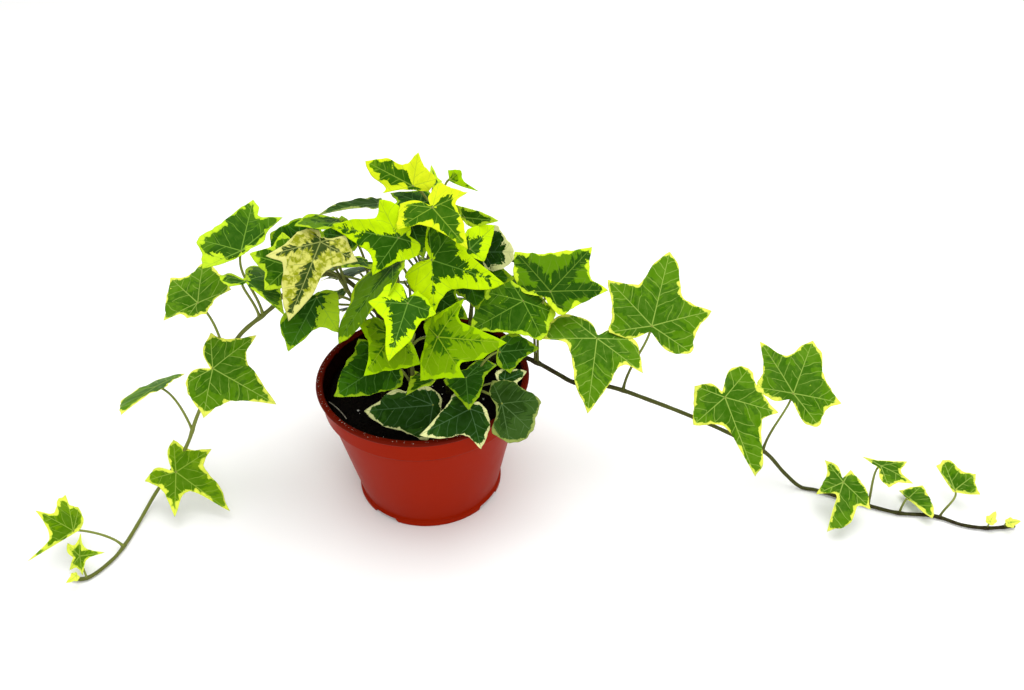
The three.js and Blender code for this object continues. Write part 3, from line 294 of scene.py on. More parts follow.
SEEN_LEAVES["stem_front"] = [
    leaf((407.6, 303.8), (388, 362), -46, 33, "long", "half", pale=[(1, 3, 0.3), (3, 5, 0.6), (5, 8,
         0.75)], edge=[
        (408, 297), (401, 283), (389, 283, 1), (378, 297), (367.5, 304, 1), (384, 323), (385, 348),
        (388.3, 362.3, 1), (410, 341.5), (420, 324), (436, 315, 1), (428, 300), (418, 289, 1)]),
    leaf((392, 334), (364.2, 374.6), -36, 33, "sharp", "lime", edge=[
        (398, 329), (377, 318), (356.5, 326, 1), (366, 341), (367, 362), (364.2, 375.5, 1), (388, 372),
        (402, 370), (418, 366, 1), (412, 345)]),
    leaf((438, 337), (506.5, 342.7), -44, 37, "sharp", "lime", edge=[
        (425, 338), (424, 323, 1), (440, 313), (466, 298, 1), (460, 318), (486, 332), (506.5, 342.7, 1),
        (484, 358), (461.5, 365), (467.5, 378, 1), (443, 378.5), (420.5, 380.5, 1), (421, 357)]),
    leaf((386, 362), (333.5, 396.5), -30, 35, "round", "dark", edge=[
        (392, 358), (370, 342), (358, 338.5, 1), (353, 353), (345, 363), (333.5, 396.5, 1), (362, 396.5),
        (382, 392), (401, 386, 1), (403, 372)]),
    leaf((433, 381), (407, 396), -36, 16, "long", "glade", narrow=0.6, edge=[
        (436, 379), (412, 371, 1), (409, 386), (406, 396, 1), (425, 387), (431, 387, 1)]),
    leaf((393, 266), (338.5, 346), -20, 48, "long", "streaked", narrow=0.42, lobes=(0.2, 0.48, 0.48, 0.2)),
    leaf((433, 405), (364.4, 411), -38, 37, "broad", "cream", edge=[
        (441, 408), (441, 397), (424, 385, 1), (406, 391), (396, 389, 1), (376, 403), (364.4, 411, 1),
        (378, 423), (408, 433.5), (427, 442, 1), (436, 428), (441, 418)]),
]
SEEN_LEAVES["stem_left"] = [
    leaf((320.4, 242), (288, 321), -14, 44, "sharp", "speckled", edge=[
        (321, 237), (318, 229.5, 1), (300, 231), (288, 242), (265, 257.5, 1), (282, 266), (281, 290),
        (288.5, 321.5, 1), (310, 299), (326, 272), (357, 262.5, 1), (345, 235, 1), (331, 238)]),
    leaf((316.5, 298), (289, 350), -22, 34, "sharp", "dark", pale=[(6, 9, 0.3)], edge=[
        (319, 291), (300, 303), (281, 318, 1), (281, 335), (288.5, 351, 1), (304, 340), (317, 329),
        (338, 335, 1), (339, 311), (338, 291, 1), (326, 289)]),
    leaf((302, 248), (270, 234), 20, 21, "round", "dark"),
    leaf((290, 266), (250, 254), -10, 24, "broad", "glade"),
]
SEEN_LEAVES["stem_rim"] = [
    leaf((470, 409), (420, 435.5), -46, 32, look="cream", edge=[
        (474, 402), (455, 393, 1), (447, 404), (434, 419), (419.5, 435, 1), (440, 439), (465, 436),
        (481, 449.7, 1), (489, 432), (490, 415, 1), (481, 402)]),
    leaf((502, 404), (509.6, 442.8), -40, 24, "round", "dull", edge=[
        (496, 406), (489, 392), (491, 377, 1), (508, 377), (523, 387), (540, 399, 1), (536, 418),
        (532, 432, 1), (521, 441.5), (509.6, 443, 1), (492, 432, 1), (496, 417)]),
    leaf((466, 378), (469, 410.8), -32, 26, look="dark", edge=[
        (466, 366), (444, 379, 1), (455, 395), (469, 411, 1), (480, 396), (486, 375), (496, 361, 1),
        (486, 353.5, 1), (474, 358)]),
    leaf((500, 352), (538.6, 348), -10, 24, look="dark", edge=[
        (497, 352), (500, 338, 1), (514, 333.5, 1), (529, 341), (539.5, 348, 1), (521, 360),
        (510, 373.5, 1), (497, 364, 1)]),
    leaf((504, 380), (527, 371), -18, 16, "sharp", "cream"),
]

# Leaves behind: tiers round the back of the crown, each leaf at an angle from +X and at a height.
TIERS = [
    Sizes(height=98, first=30, last=150, count=6, long=32),
    Sizes(height=124, first=26, last=154, count=6, long=32),
    Sizes(height=148, first=36, last=144, count=4, long=30),
    Sizes(height=166, first=102, last=60, count=2, long=26),
]
TIER_LEAF = Sizes(up=6, up_more=2, longer=0.12, sway=14, tilt=36, tilt_more=10, first_key=100, keys=10)
BACK_STEMS = [(60, "stem_back_right"), (115, "stem_back_middle"), (180, "stem_back_left")]
BACK_LOOKS = ("mature", "dark", "glade", "mature", "cream")
CROWN = Sizes(middle=(0, 5, 88), radii=(64, 56, 94))  # the egg that the hidden leaves lie on

# ---------------------------------------------------------------- colours


def hex_colour(code):
    """sRGB hex to linear RGBA: below 0.04045 the value over 12.92, above it ((v + 0.055) / 1.055) ** 2.4."""
    values = [int(code[i:i + 2], 16) / 255 for i in (0, 2, 4)]
    return [v / 12.92 if v <= 0.04045 else ((v + 0.055) / 1.055) ** 2.4 for v in values] + [1.0]


def look_row(heart, flesh, margin, lime, vein, width, core, ribs=0.0, inner=0.45, mottle=None):
    """One look of leaf: the dark heart, the green flesh, the pale margin, the lime on its inner side and the
    veins, as sRGB hex, the margin's usual width in mm, how far the heart reaches (share of the blade), how
    much it keeps to the veins instead (0 to 1), how strong the inner lime is, and the flesh's spots."""
    colours = dict(heart=heart, flesh=flesh, margin=margin, lime=lime, vein=vein, mottle=mottle or flesh)
    return Sizes(width=width, core=core, ribs=ribs, inner=inner, mottled=mottle is not None,
                 **{name: hex_colour(code) for name, code in colours.items()})


LOOKS = {
    "mature": look_row("346200", "4a7800", "e6ea5c", "8cac18", "90ac48", 0.7, 0.5),
    "fresh": look_row("4a7600", "628c00", "e2ee4e", "8cb014", "8aa838", 0.95, 0.5),
    "glade": look_row("245000", "3e6a00", "b8d826", "6c9800", "709630", 1.3, 0.6),
    "sector": look_row("1c4600", "548000", "cce42c", "88b400", "648428", 1.0, 0.62, ribs=0.7),
    "golden": look_row("2c5a00", "507c00", "d0de1c", "94bc00", "7c9c2c", 1.5, 0.7),
    "lime": look_row("2e6000", "709a00", "9cc800", "84ac00", "8cac20", 1.5, 0.3, ribs=0.5),
    "half": look_row("224e00", "406e00", "b8dc04", "7cac00", "60882c", 1.4, 0.7),
    "streaked": look_row("1e4600", "4a7000", "9cbc10", "6c9400", "60842c", 1.2, 0.35, ribs=0.5),
    "dark": look_row("1a4200", "2e5c00", "8eb016", "648c08", "4c7430", 0.7, 0.6),
    "cream": look_row("163800", "284c0c", "dadc98", "8c9c58", "44643c", 0.8, 0.75, inner=0.25),
    "dull": look_row("1e3a04", "304e14", "8c9a4c", "586c2c", "4c6838", 0.6, 0.6),
    "speckled": look_row("243c0c", "c2c25c", "cccc78", "a4a424", "8c944c", 1.3, 0.42, ribs=0.75, inner=0.3,
                         mottle="848c0c"),
}

# Sizes of a leaf's patterns, in mm: how the side veins wander, the streaks between them, patches of the
# heart, teeth of the margin, the stretches in which it comes and goes, cloud in the green, blotches in the
# margin, spots of a second flesh, how far the heart keeps to the veins, gloss, and the net of the finest
# veins, which is drawn wide enough to show.
PATTERN = Sizes(wander=6, streak=3, streak_long=9, patch=7, teeth=0.9, stretch=8, cloud=4, blotch=5,
                mottle=3, rib=6, gloss=2.5, net=1.5)

# ---------------------------------------------------------------- small helpers


def unit(v):
    """The vector, or each row of vectors, over its own length."""
    v = np.asarray(v, float)
    return v / np.linalg.norm(v, axis=-1, keepdims=True)


def wrapped(angle):
    """The same angle between minus and plus half a circle."""
    return (angle + np.pi) % CIRCLE - np.pi


def run_of(line):
    """How far along the line each of its points lies: the sum of the straight stretches before it."""
    return np.concatenate([[0], np.cumsum(np.linalg.norm(np.diff(line, axis=0), axis=1))])


def spaced(line, places, run):
    """The points of a line at the given places, straight between its own points."""
    return np.column_stack([np.interp(places, run, side) for side in line.T])


def wobble(key):
    """The same number between -1 and 1 for the same key: twice the fraction of a steep sine, less 1."""
    wave = math.sin(key * 12.9898) * 43758.5453
    return 2 * (wave - math.floor(wave)) - 1


def lumps(x, y, size, seed):
    """Smooth random heights of about -1 to 1, in lumps of one size: the mean of 18 plane sine waves whose
    lengths lie round twice the size, in random directions and phases."""
    draw, waves = np.random.default_rng(seed), 18
    turn = draw.uniform(0, CIRCLE, waves)
    pace = np.pi / (size * draw.uniform(0.75, 1.5, waves))
    phase = draw.uniform(0, CIRCLE, waves)
    total = sum(np.sin(p * (np.cos(t) * x + np.sin(t) * y) + f) for t, p, f in zip(turn, pace, phase))
    return total / math.sqrt(waves)


def shell(rings, first, last):
    """A closed skin: quads between rings of points, and a fan from a pole to the first and the last ring.
    Gives points, quads and fans, with their order reversed where the enclosed volume is negative."""
    count, around = rings.shape[:2]
    points = np.concatenate([[first], rings.reshape(-1, 3), [last]])
    index = 1 + np.arange(count * around).reshape(count, around)
    after = np.roll(index, -1, axis=1)
    quads = np.stack([index[:-1], after[:-1], after[1:], index[1:]], -1).reshape(-1, 4)
    fans = np.concatenate([
        np.stack([np.zeros(around, int), after[0], index[0]], -1),
        np.stack([np.full(around, len(points) - 1), index[-1], after[-1]], -1),
    ])
    centred = points - points.mean(0)
    a, b, c = centred[np.concatenate([quads[:, :3], quads[:, [0, 2, 3]], fans])].transpose(1, 0, 2)
    if np.einsum("ij,ij->i", a, np.cross(b, c)).sum() < 0:
        quads, fans = quads[:, ::-1], fans[:, ::-1]
    return dict(points=points, quads=quads, fans=fans)


def put_mesh(name, parts, materials, slot, *replaced):
    """One object from several parts. Each part holds points (mm), quads, fans, and maybe a material number
    and attributes of one vector a point. The object rides on the only body."""
    start, points, loops, sizes, kinds, fields = 0, [], [], [], [], {}
    for part in parts:
        for faces in (part.get("quads", ()), part["fans"]):
            if len(faces):
                loops.append((faces + start).ravel())
                sizes.append(np.full(len(faces), faces.shape[1]))
                kinds.append(np.full(len(faces), part.get("material", 0)))
        points.append(part["points"])
        for key, values in part.get("fields", {}).items():
            fields.setdefault(key, []).append(values)
        start += len(part["points"])
    sizes, loops = np.concatenate(sizes), np.concatenate(loops)
    mesh = bpy.data.meshes.new(name)
    mesh.vertices.add(start)
    mesh.vertices.foreach_set("co", (np.concatenate(points) * MM).astype(np.float32).ravel())
    mesh.loops.add(len(loops))
    mesh.loops.foreach_set("vertex_index", loops.astype(np.int32))
    mesh.polygons.add(len(sizes))
    mesh.polygons.foreach_set("loop_start", (np.cumsum(sizes) - sizes).astype(np.int32))
    for material in materials:
        mesh.materials.append(material)
    mesh.polygons.foreach_set("material_index", np.concatenate(kinds).astype(np.int32))
    mesh.polygons.foreach_set("use_smooth", np.ones(len(sizes), bool))
    for key, values in fields.items():
        made = mesh.attributes.new(key, "FLOAT_VECTOR", "POINT")
        made.data.foreach_set("vector", np.concatenate(values).astype(np.float32).ravel())
    mesh.update(calc_edges=True)
    mesh.validate()
    piece = bpy.data.objects.new(name, mesh)
    bpy.context.scene.collection.objects.link(piece)
    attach(piece, "root")
    if replaced:
        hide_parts(*replaced)
    return piece


# ---------------------------------------------------------------- the view

def view_axes():
    """The camera's own directions: ahead, right and up, from its pitch below level and its roll, and its
    place, which is the target less the distance ahead."""
    pitch, roll = math.radians(VIEW.pitch), math.radians(VIEW.roll)
    ahead = np.array([0.0, math.cos(pitch), -math.sin(pitch)])
    level = np.array([1.0, 0.0, 0.0])
    upright = np.array([0.0, math.sin(pitch), math.cos(pitch)])
    right = level * math.cos(roll) + upright * math.sin(roll)
    up = upright * math.cos(roll) - level * math.sin(roll)
    return ahead, right, up, np.array(VIEW.target) - ahead * VIEW.distance


AHEAD, RIGHT, UP, EYE = view_axes()


def sight(seen):
    """Unit direction from the eye through a point of the view."""
    across, down = seen[0] - VIEW.middle[0], VIEW.middle[1] - seen[1]
    return unit(AHEAD * VIEW.focal + RIGHT * across + UP * down)


def at_depth(seen, depth):
    """The point seen there whose y is the depth."""
    ray = sight(seen)
    return EYE + ray * (depth - EYE[1]) / ray[1]


def at_height(seen, height):
    """The point seen there whose z is the height."""
    ray = sight(seen)
    return EYE + ray * (height - EYE[2]) / ray[2]


# ---------------------------------------------------------------- curves

def smooth_curve(points, steps=24):
    """A centripetal Catmull-Rom curve through points: in each span a cubic Hermite whose slopes weigh the
    neighbouring chords by the square roots of their lengths. Returns steps points a span."""
    p = np.asarray(points, float)
    p = np.vstack([2 * p[0] - p[1], p, 2 * p[-1] - p[-2]])
    gap = np.sqrt(np.linalg.norm(np.diff(p, axis=0), axis=1))[:, None]
    chord = np.diff(p, axis=0) / gap
    wide = (p[2:] - p[:-2]) / (gap[:-1] + gap[1:])
    slope = chord[:-1] - wide + chord[1:]
    a, b, d = p[1:-2], p[2:-1], gap[1:-1]
    a, b, m, n = (v[:, None, :] for v in (a, b, slope[:-1] * d, slope[1:] * d))
    t = (np.arange(steps) / steps)[None, :, None]
    curve = (a * (2 * t**3 - 3 * t**2 + 1) + m * (t**3 - 2 * t**2 + t)
             + b * (3 * t**2 - 2 * t**3) + n * (t**3 - t**2))
    return np.vstack([curve.reshape(-1, p.shape[1]), p[-2]])


def resample(curve, step):
    """The curve again, as points an equal distance of about one step apart, and how far along they lie."""
    run = run_of(curve)
    places = np.linspace(0, run[-1], max(2, int(round(run[-1] / step))) + 1)
    return spaced(curve, places, run), places


def bezier(a, b, c, d, steps):
    """A cubic Bezier curve: the four points weighed by the terms of (1 - t + t) ** 3."""
    t = np.linspace(0, 1, steps + 1)[:, None]
    return a * (1 - t)**3 + 3 * b * t * (1 - t)**2 + 3 * c * t**2 * (1 - t) + d * t**3


def tube(path, radius, around, age=None):
    """A round skin along a path: rings of points at the radius (one a path point) in the plane across the
    path, whose first direction is the path's direction crossed with one fixed slanting vector. Its poles
    stand out by 0.4 and 0.6 of the radius. age is 1 for old bark and 0 for young, one a path point."""
    ahead = unit(np.gradient(path, axis=0))
    side = unit(np.cross(ahead, (0.31, 0.94, 0.13)))
    other = np.cross(ahead, side)
    turn = np.linspace(0, CIRCLE, around, endpoint=False)[None, :, None]
    spread = side[:, None] * np.cos(turn) + other[:, None] * np.sin(turn)
    rings = path[:, None] + spread * radius.reshape(-1, 1, 1)
    part = shell(rings, path[0] - ahead[0] * radius[0] * 0.4, path[-1] + ahead[-1] * radius[-1] * 0.6)
    if age is not None:
        ages = np.concatenate([age[:1], np.repeat(age, around), age[-1:]])
        part["fields"] = {"stem_age": np.outer(ages, (1, 0, 0))}
    return part


def route_of(stem):
    """A stem's way: from below the soil through the points of its rows in STEMS."""
    points = [(*stem.root, SOIL.level - SOIL.depth + 1), (*stem.root, SOIL.level + 4), *stem.climb]
    points += [at_depth(row, row[2]) for row in stem.seen]
    points += [at_height(row, STEM.floor) for row in stem.lying]
    return smooth_curve(points)


# ---------------------------------------------------------------- the leaf

def edge_share(angle, row):
    """Distance from the joint to the blade's edge in each direction, over the length to the tip. A lobe tip
    has its own length; a cut between two lobes lies half-way in angle at the root of their product; between
    cut and tip the distance grows by a power."""
    form = FORMS[row["form"]]
    lobes = row.get("lobes", form.lobes)
    base, side = TURNS
    right = angle >= 0
    side_lobe = np.where(right, lobes[2], lobes[1])
    base_lobe = np.where(right, lobes[3], lobes[0])
    cut_one = form.cuts[0] * np.sqrt(side_lobe)
    cut_two = form.cuts[1] * np.sqrt(side_lobe * base_lobe)
    turn, one, two = np.abs(angle), side / 2, (side + base) / 2
    near_lobe, near_cut = [turn <= one, turn <= two], [turn <= side, turn <= base]
    lobe_at = np.select(near_lobe, [0, side], base)
    lobe = np.select(near_lobe, [1 + 0 * turn, side_lobe], base_lobe)
    cut_at = np.select(near_cut, [one, two], 180)
    cut = np.select(near_cut, [cut_one, cut_two], NOTCH)
    share = np.abs(turn - cut_at) / np.abs(lobe_at - cut_at)
    return cut + (lobe - cut) * share ** np.where(turn > base, NOTCH_ROUND, form.point)


def traced_outline(row, place, steps):
    """The outline of a row with an edge: its corners lie where their lines of sight meet the blade's plane,
    and smooth curves join them from one sharp tip to the next."""
    joint, along, across, out, _ = place
    rays = np.array([sight(corner) for corner in row["edge"]])
    offset = EYE + rays * (np.dot(joint - EYE, out) / (rays @ out))[:, None] - joint
    corners = np.column_stack([offset @ along, offset @ across])
    tip = np.array([len(corner) == 3 for corner in row["edge"]])
    sectors = [(corners[i], corners[j], start) for i, j, start in row.get("pale", ())]
    after = np.roll(corners, -1, axis=0)
    if (corners[:, 0] * after[:, 1] - corners[:, 1] * after[:, 0]).sum() < 0:
        corners, tip = (np.concatenate([v[:1], v[:0:-1]]) for v in (corners, tip))
    back, ahead = (unit(np.roll(corners, way, axis=0) - corners) for way in (1, -1))
    sharp = tip & ((back * ahead).sum(1) > BLUNT)
    closed = np.vstack([corners, corners[:1]])
    breaks = [0, *np.flatnonzero(sharp), len(corners)]
    runs = [smooth_curve(closed[a:b + 1], steps)[:-1] for a, b in zip(breaks, breaks[1:])]
    return np.concatenate(runs), corners[tip], corners[1:][~tip[1:]], sectors


def blade_outline(row, place, steps):
    """The closed edge line on the blade's plan, the lobes' tips, which its veins run to, the cuts between
    them, and pairs of points between which it is pale, as mm along and across. Without an edge of its own,
    a row's form gives the line, in steps from each lobe to the next cut."""
    if "edge" in row:
        return traced_outline(row, place, steps)
    base, side = TURNS
    half = [side / 2, side, (side + base) / 2, base, (base + 180) / 2]
    marks = np.array([0, *half, 180, *(360 - angle for angle in half[::-1]), 360])
    angles = np.interp(np.arange((len(marks) - 1) * steps) / steps, np.arange(len(marks)), marks)

    def points(angle):
        angle = np.where(angle > 180, angle - 360, angle)
        turn, share = np.radians(angle), edge_share(angle, row)
        return place[4] * share[:, None] * np.column_stack([np.cos(turn), np.sin(turn)])

    return points(angles), points(marks[[8, 10, 0, 2, 4]]), points(marks[[9, 11, 1, 3]]), []


def blade_height(along, across, form, key):
    """Height over the flat plan, in blade lengths: folded up from the midrib, less a droop by the square of
    the reach, plus waves round the edge. The slope along the midrib is taken out again."""
    reach, turn = np.hypot(along, across), np.arctan2(across, along)

    def bend(b, r):
        return form.fold * (np.hypot(b, BLADE.crease) - BLADE.crease) - form.droop * r * r

    wave = BLADE.wave * reach * reach * np.sin(BLADE.waves * turn + 3 * wobble(key))
    return bend(across, reach) - along * bend(0, 1) + wave


def seen_frame(row):
    """A seen leaf's joint and directions: along to the tip, which lies on its line of sight at the leaf's
    length, across, and out of the face. Of the two tips and the two ways to turn it on edge, the one whose
    face looks up the most."""
    joint = at_depth(row["blade"], row["depth"])
    to_eye, ray = unit(EYE - joint), sight(row["tip"])
    nearest = np.dot(joint - EYE, ray)
    miss = np.linalg.norm(joint - (EYE + ray * nearest))
    half = math.sqrt(max(row["long"] ** 2 - miss**2, 0))
    best = None
    for reach in (nearest - half, nearest + half):
        way = EYE + ray * reach - joint
        along = unit(way)
        flat = unit(np.cross(along, to_eye))
        for lean in (1, -1):
            angle = lean * math.acos(row.get("narrow", 1))
            across = flat * math.cos(angle) + np.cross(flat, along) * math.sin(angle)
            out = np.cross(across, along)
            if best is None or out[2] > best[3][2] + 1e-9:
                best = (joint, along, across, out, np.linalg.norm(way))
    return best


def hidden_frame(row):
    """A hidden leaf's joint on the crown's egg, with the tip outwards and down by its tilt."""
    turn, lean = math.radians(row["around"]), math.radians(row["tilt"])
    (x, y, z), (a, b, c) = CROWN.middle, CROWN.radii
    share = math.sqrt(max(1 - ((row["height"] - z) / c) ** 2, 0))
    joint = np.array([x + a * share * math.cos(turn), y + b * share * math.sin(turn), row["height"]])
    way = turn + math.radians(row["sway"])
    along = np.array([math.cos(way) * math.cos(lean), math.sin(way) * math.cos(lean), -math.sin(lean)])
    across = unit(np.cross(along, (0, 0, 1)))
    return joint, along, across, np.cross(across, along), row["long"]


def hidden_leaves():
    """Rows for the tiers of leaves behind, each by the name of the stem that stands nearest."""
    rows, leaves = [], TIER_LEAF
    for number, tier in enumerate(TIERS):
        for i in range(tier.count):
            key = leaves.first_key + leaves.keys * number + i
            around = tier.first + (tier.last - tier.first) * i / (tier.count - 1)
            rows.append(dict(
                stem=next(name for limit, name in BACK_STEMS if around <= limit), around=around,
                height=tier.height + (leaves.up if i % 2 else -leaves.up) + leaves.up_more * wobble(key),
                long=tier.long * (1 + leaves.longer * wobble(key + 0.5)),
                sway=leaves.sway * wobble(key + 0.25),
                tilt=leaves.tilt + leaves.tilt_more * wobble(key + 0.75),
                form="broad" if i % 3 else "sharp", look=BACK_LOOKS[key % len(BACK_LOOKS)]))
    return rows


def outline_distance(plan, edge):
    """Distance from each point of the plan to the nearest stretch of the closed edge line."""
    way = np.roll(edge, -1, axis=0) - edge
    share = ((plan[:, None] - edge) * way).sum(-1) / np.maximum((way**2).sum(-1), 1e-9)
    near = edge + way * np.clip(share, 0, 1)[..., None]
    return np.linalg.norm(plan[:, None] - near, axis=-1).min(1)


def pale_sectors(angle, share, sectors):
    """How pale each point is, 0 to 1: whole between a sector's two directions and from its start on the way
    out, and fading over PALE_EDGE on all sides."""
    pale = np.zeros(len(angle))
    for first, last, start in sectors:
        low = math.atan2(first[1], first[0])
        half = 0.5 * wrapped(math.atan2(last[1], last[0]) - low)
        within = np.clip((abs(half) - np.abs(wrapped(angle - low - half))) / PALE_EDGE + 0.5, 0, 1)
        beyond = np.clip((share - start) / PALE_EDGE + 0.5, 0, 1) if start else 1
        pale = np.maximum(pale, np.minimum(within, beyond))
    return pale


def blade_fields(flat, edge, share, under, outline, long, key):
    """What the leaf's material reads at each point of the plan: its place and a number of the leaf's own;
    how far it lies along the nearest main vein and from it, in mm, and its share of that vein; its side of
    the vein, and how far it is from the lobes' tips and the cuts; how far from the edge, how pale, and
    whether it is on the lower face."""
    _, tips, cuts, sectors = outline
    angle = np.arctan2(flat[:, 1], flat[:, 0])
    off = wrapped(angle[:, None] - np.arctan2(tips[:, 1], tips[:, 0]))
    pick = np.abs(off).argmin(1)
    off, spread = off[np.arange(len(off)), pick], np.hypot(*flat.T)
    along, aside = spread * np.cos(off), spread * np.sin(off)
    to_tip = np.linalg.norm(flat[:, None] - tips, axis=-1).min(1)
    to_cut = np.linalg.norm(flat[:, None] - cuts, axis=-1).min(1) if len(cuts) else 0 * to_tip + long
    pale = pale_sectors(angle, share, sectors)
    return {
        "leaf_plan": np.column_stack([flat, np.full(len(flat), key)]),
        "leaf_vein": np.column_stack([along, np.abs(aside), along / np.hypot(*tips.T)[pick]]),
        "leaf_side": np.column_stack([aside > 0, to_tip, to_cut]),
        "leaf_zone": np.column_stack([outline_distance(flat, edge), pale, under]),
    }


def make_blade(row, place, steps, looks):
    """The blade: rings of stations round the joint, from the middle of the upper face out to the edge and
    back under the lower face. A station lies at a share of the edge's distance in its direction, raised by
    the blade's height and half its thickness, which thins towards the edge."""
    joint, along, across, out, long = place
    outline = blade_outline(row, place, steps)
    turn = np.unwrap(np.arctan2(outline[0][:, 1], outline[0][:, 0]))
    least = LEAST_TURN * np.arange(len(turn))
    turn = np.maximum.accumulate(turn - least) + least
    ripple = 1 + sum(height * np.sin(count * turn + joint[axis])
                     for (height, count), axis in zip(RIPPLES, (0, 2)))
    edge = (np.hypot(*outline[0].T) / long * ripple)[:, None] * np.column_stack([np.cos(turn), np.sin(turn)])

    ring = np.array([*RINGS, 1, *RINGS[::-1]])
    face = np.repeat([1, 0, -1], [len(RINGS), 1, len(RINGS)])
    a, b = (ring[:, None] * side for side in edge.T)
    thickness = bpy.context.scene.ivy_leaves.thickness / MM * (1 - BLADE.thinner * ring**2)
    rise = long * blade_height(a, b, FORMS[row["form"]], joint[0]) + (0.5 * face * thickness)[:, None]
    pucker = np.sin(BLADE.puckers * turn + 0.7 * joint[2])
    rise = rise + BLADE.pucker * long * ring[:, None] ** 2 * pucker
    points = (joint + along * (a * long)[..., None] + across * (b * long)[..., None]
              + out * rise[..., None])
    middle = out * 0.5 * thickness[0]
    part = shell(points, joint + middle, joint - middle)

    flat = np.vstack([[0, 0], np.stack([a * long, b * long], -1).reshape(-1, 2), [0, 0]])
    share = np.concatenate([[0], np.repeat(ring, len(turn)), [0]])
    under = np.concatenate([[0], np.repeat(face < 0, len(turn)), [1]])
    fields = blade_fields(flat, long * edge, share, under, outline, long, joint[0] * 1.7 + joint[2])
    return dict(part, fields=fields, material=looks.index(row["look"]))


def foot_of(joint, row, route):
    """The stem's point that a stalk leaves from: nearest the line of sight of the row's stalk, or else a
    stalk's length below the blade and clear of the soil. Gives its number and how far from the joint it
    is."""
    gap = np.linalg.norm(route - joint, axis=1)
    buried = np.where(np.hypot(route[:, 0], route[:, 1]) < POT.rim,
                      np.maximum(0, SOIL.level + STALK.clear - route[:, 2]), 0)
    if "stalk" in row:
        ray = sight(row["stalk"])
        offset = route - EYE
        cost = np.linalg.norm(offset - ray * (offset @ ray)[:, None], axis=1)
    else:
        high = np.maximum(0, route[:, 2] - joint[2] + STALK.below)
        cost = np.abs(gap - row["long"] * STALK.reach) + FOOT_COST.gap * gap + FOOT_COST.high * high
    best = int((cost + FOOT_COST.buried * buried).argmin())
    return best, gap[best]


def make_stalk(row, place, route, woody):
    """The stalk: a Bezier curve from the stem, up and out, and into the blade from behind and below. Its
    radius falls evenly from foot to blade, plus a swelling at the foot that dies away as a bell curve."""
    joint, along, _, out, _ = place
    foot_at, gap = foot_of(joint, row, route)
    foot = route[foot_at]
    first = foot + (joint - foot) * STALK.lean + np.array([0, 0, STALK.rise * gap])
    last = joint - along * STALK.behind * gap - out * STALK.under * gap
    path = bezier(foot, first, last, joint, STALK.steps)
    path = np.vstack([path, joint + along * STALK.sink - out * STALK.under_face])
    t = np.linspace(0, 1, len(path))
    size = STALK.radius * min(1, STALK.small + row["long"] / STALK.full)
    radius = size * (STALK.thick + STALK.swell * np.exp(-((t / STALK.swollen) ** 2)) - STALK.thinner * t)
    radius[-1] = STALK.end
    return tube(path, radius, STALK.around, woody * np.clip(1 - STALK.greening * t, 0, 1)), foot_at


def leafy_stem(name, rows):
    """One stem: a piece of its blades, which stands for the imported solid, and a piece of its stem and
    stalks. The stem thins evenly to its end, with a knot like a bell curve at the foot of each stalk."""
    stem = STEMS[name]
    route = route_of(stem)
    looks = sorted({row["look"] for row in rows})
    fine = bpy.context.scene.ivy_leaves.steps
    ages = np.linspace(0, 1, len(stem.bark))
    woody = np.interp(STALK.bark_at, ages, stem.bark)
    blades, stalks, feet = [], [], []
    for row in rows:
        place = seen_frame(row) if "blade" in row else hidden_frame(row)
        steps = fine if row["long"] > SMALL_LEAF.long else SMALL_LEAF.steps
        blades.append(make_blade(row, place, steps, looks))
        stalk, foot = make_stalk(row, place, route, woody)
        stalks.append(stalk)
        feet.append(foot)
    put_mesh(name + "_leaves", blades, [leaf_material(look) for look in looks], stem.slot, name)

    path, run = resample(route, STEM.step)
    share = run / run[-1]
    knots = np.exp(-(((run[:, None] - run_of(route)[feet]) / STEM.knot_long) ** 2)).sum(1)
    radius = STEM.radius * (STEM.thick - STEM.thinner * share)
    radius *= 1 + STEM.knot * np.clip(knots, 0, STEM.knot_most)
    radius *= 1 + STEM.uneven * np.sin(run / STEM.waves[0]) * np.sin(run / STEM.waves[1] + 1)
    stalks.append(tube(path, radius, STEM.around, np.interp(share, ages, stem.bark)))
    put_mesh(name + "_stalks", stalks, [stem_material()], stem.slot)


# ---------------------------------------------------------------- materials

# The setting that the word after a node's kind gives.
CHOICES = {"Math": "operation", "Mix": "data_type", "MapRange": "interpolation_type",
           "TexVoronoi": "feature", "Attribute": "attribute_name"}


def add_node(tree, kind, *inputs, **more):
    """Adds a node and returns it. The word after a colon in its kind is its main choice, and names in small
    letters are further settings. Inputs come in order, or by name with _ for a space. A node given for an
    input links its first output in use, a node with an output's name links that one, and anything else is
    the input's value."""
    kind, _, choice = kind.partition(":")
    node = tree.nodes.new("ShaderNode" + kind)
    settings = {key: value for key, value in more.items() if key.islower()}
    if choice:
        settings[CHOICES[kind]] = choice
    for key, value in settings.items():
        setattr(node, key, value)
    given = list(zip([socket for socket in node.inputs if socket.enabled], inputs))
    given += [(node.inputs[key.replace("_", " ")], more[key]) for key in more if key not in settings]
    for socket, value in given:
        if isinstance(value, Node):
            value = next(output for output in value.outputs if output.enabled)
        elif isinstance(value, tuple):
            value = value[0].outputs[value[1]]
        if isinstance(value, NodeSocket):
            tree.links.new(value, socket)
        else:
            socket.default_value = value
    return node


def new_material(name):
    """An empty material, and add_node for its node tree."""
    material = bpy.data.materials.new(name)
    material.use_nodes = True
    material.node_tree.nodes.clear()
    return material, partial(add_node, material.node_tree)


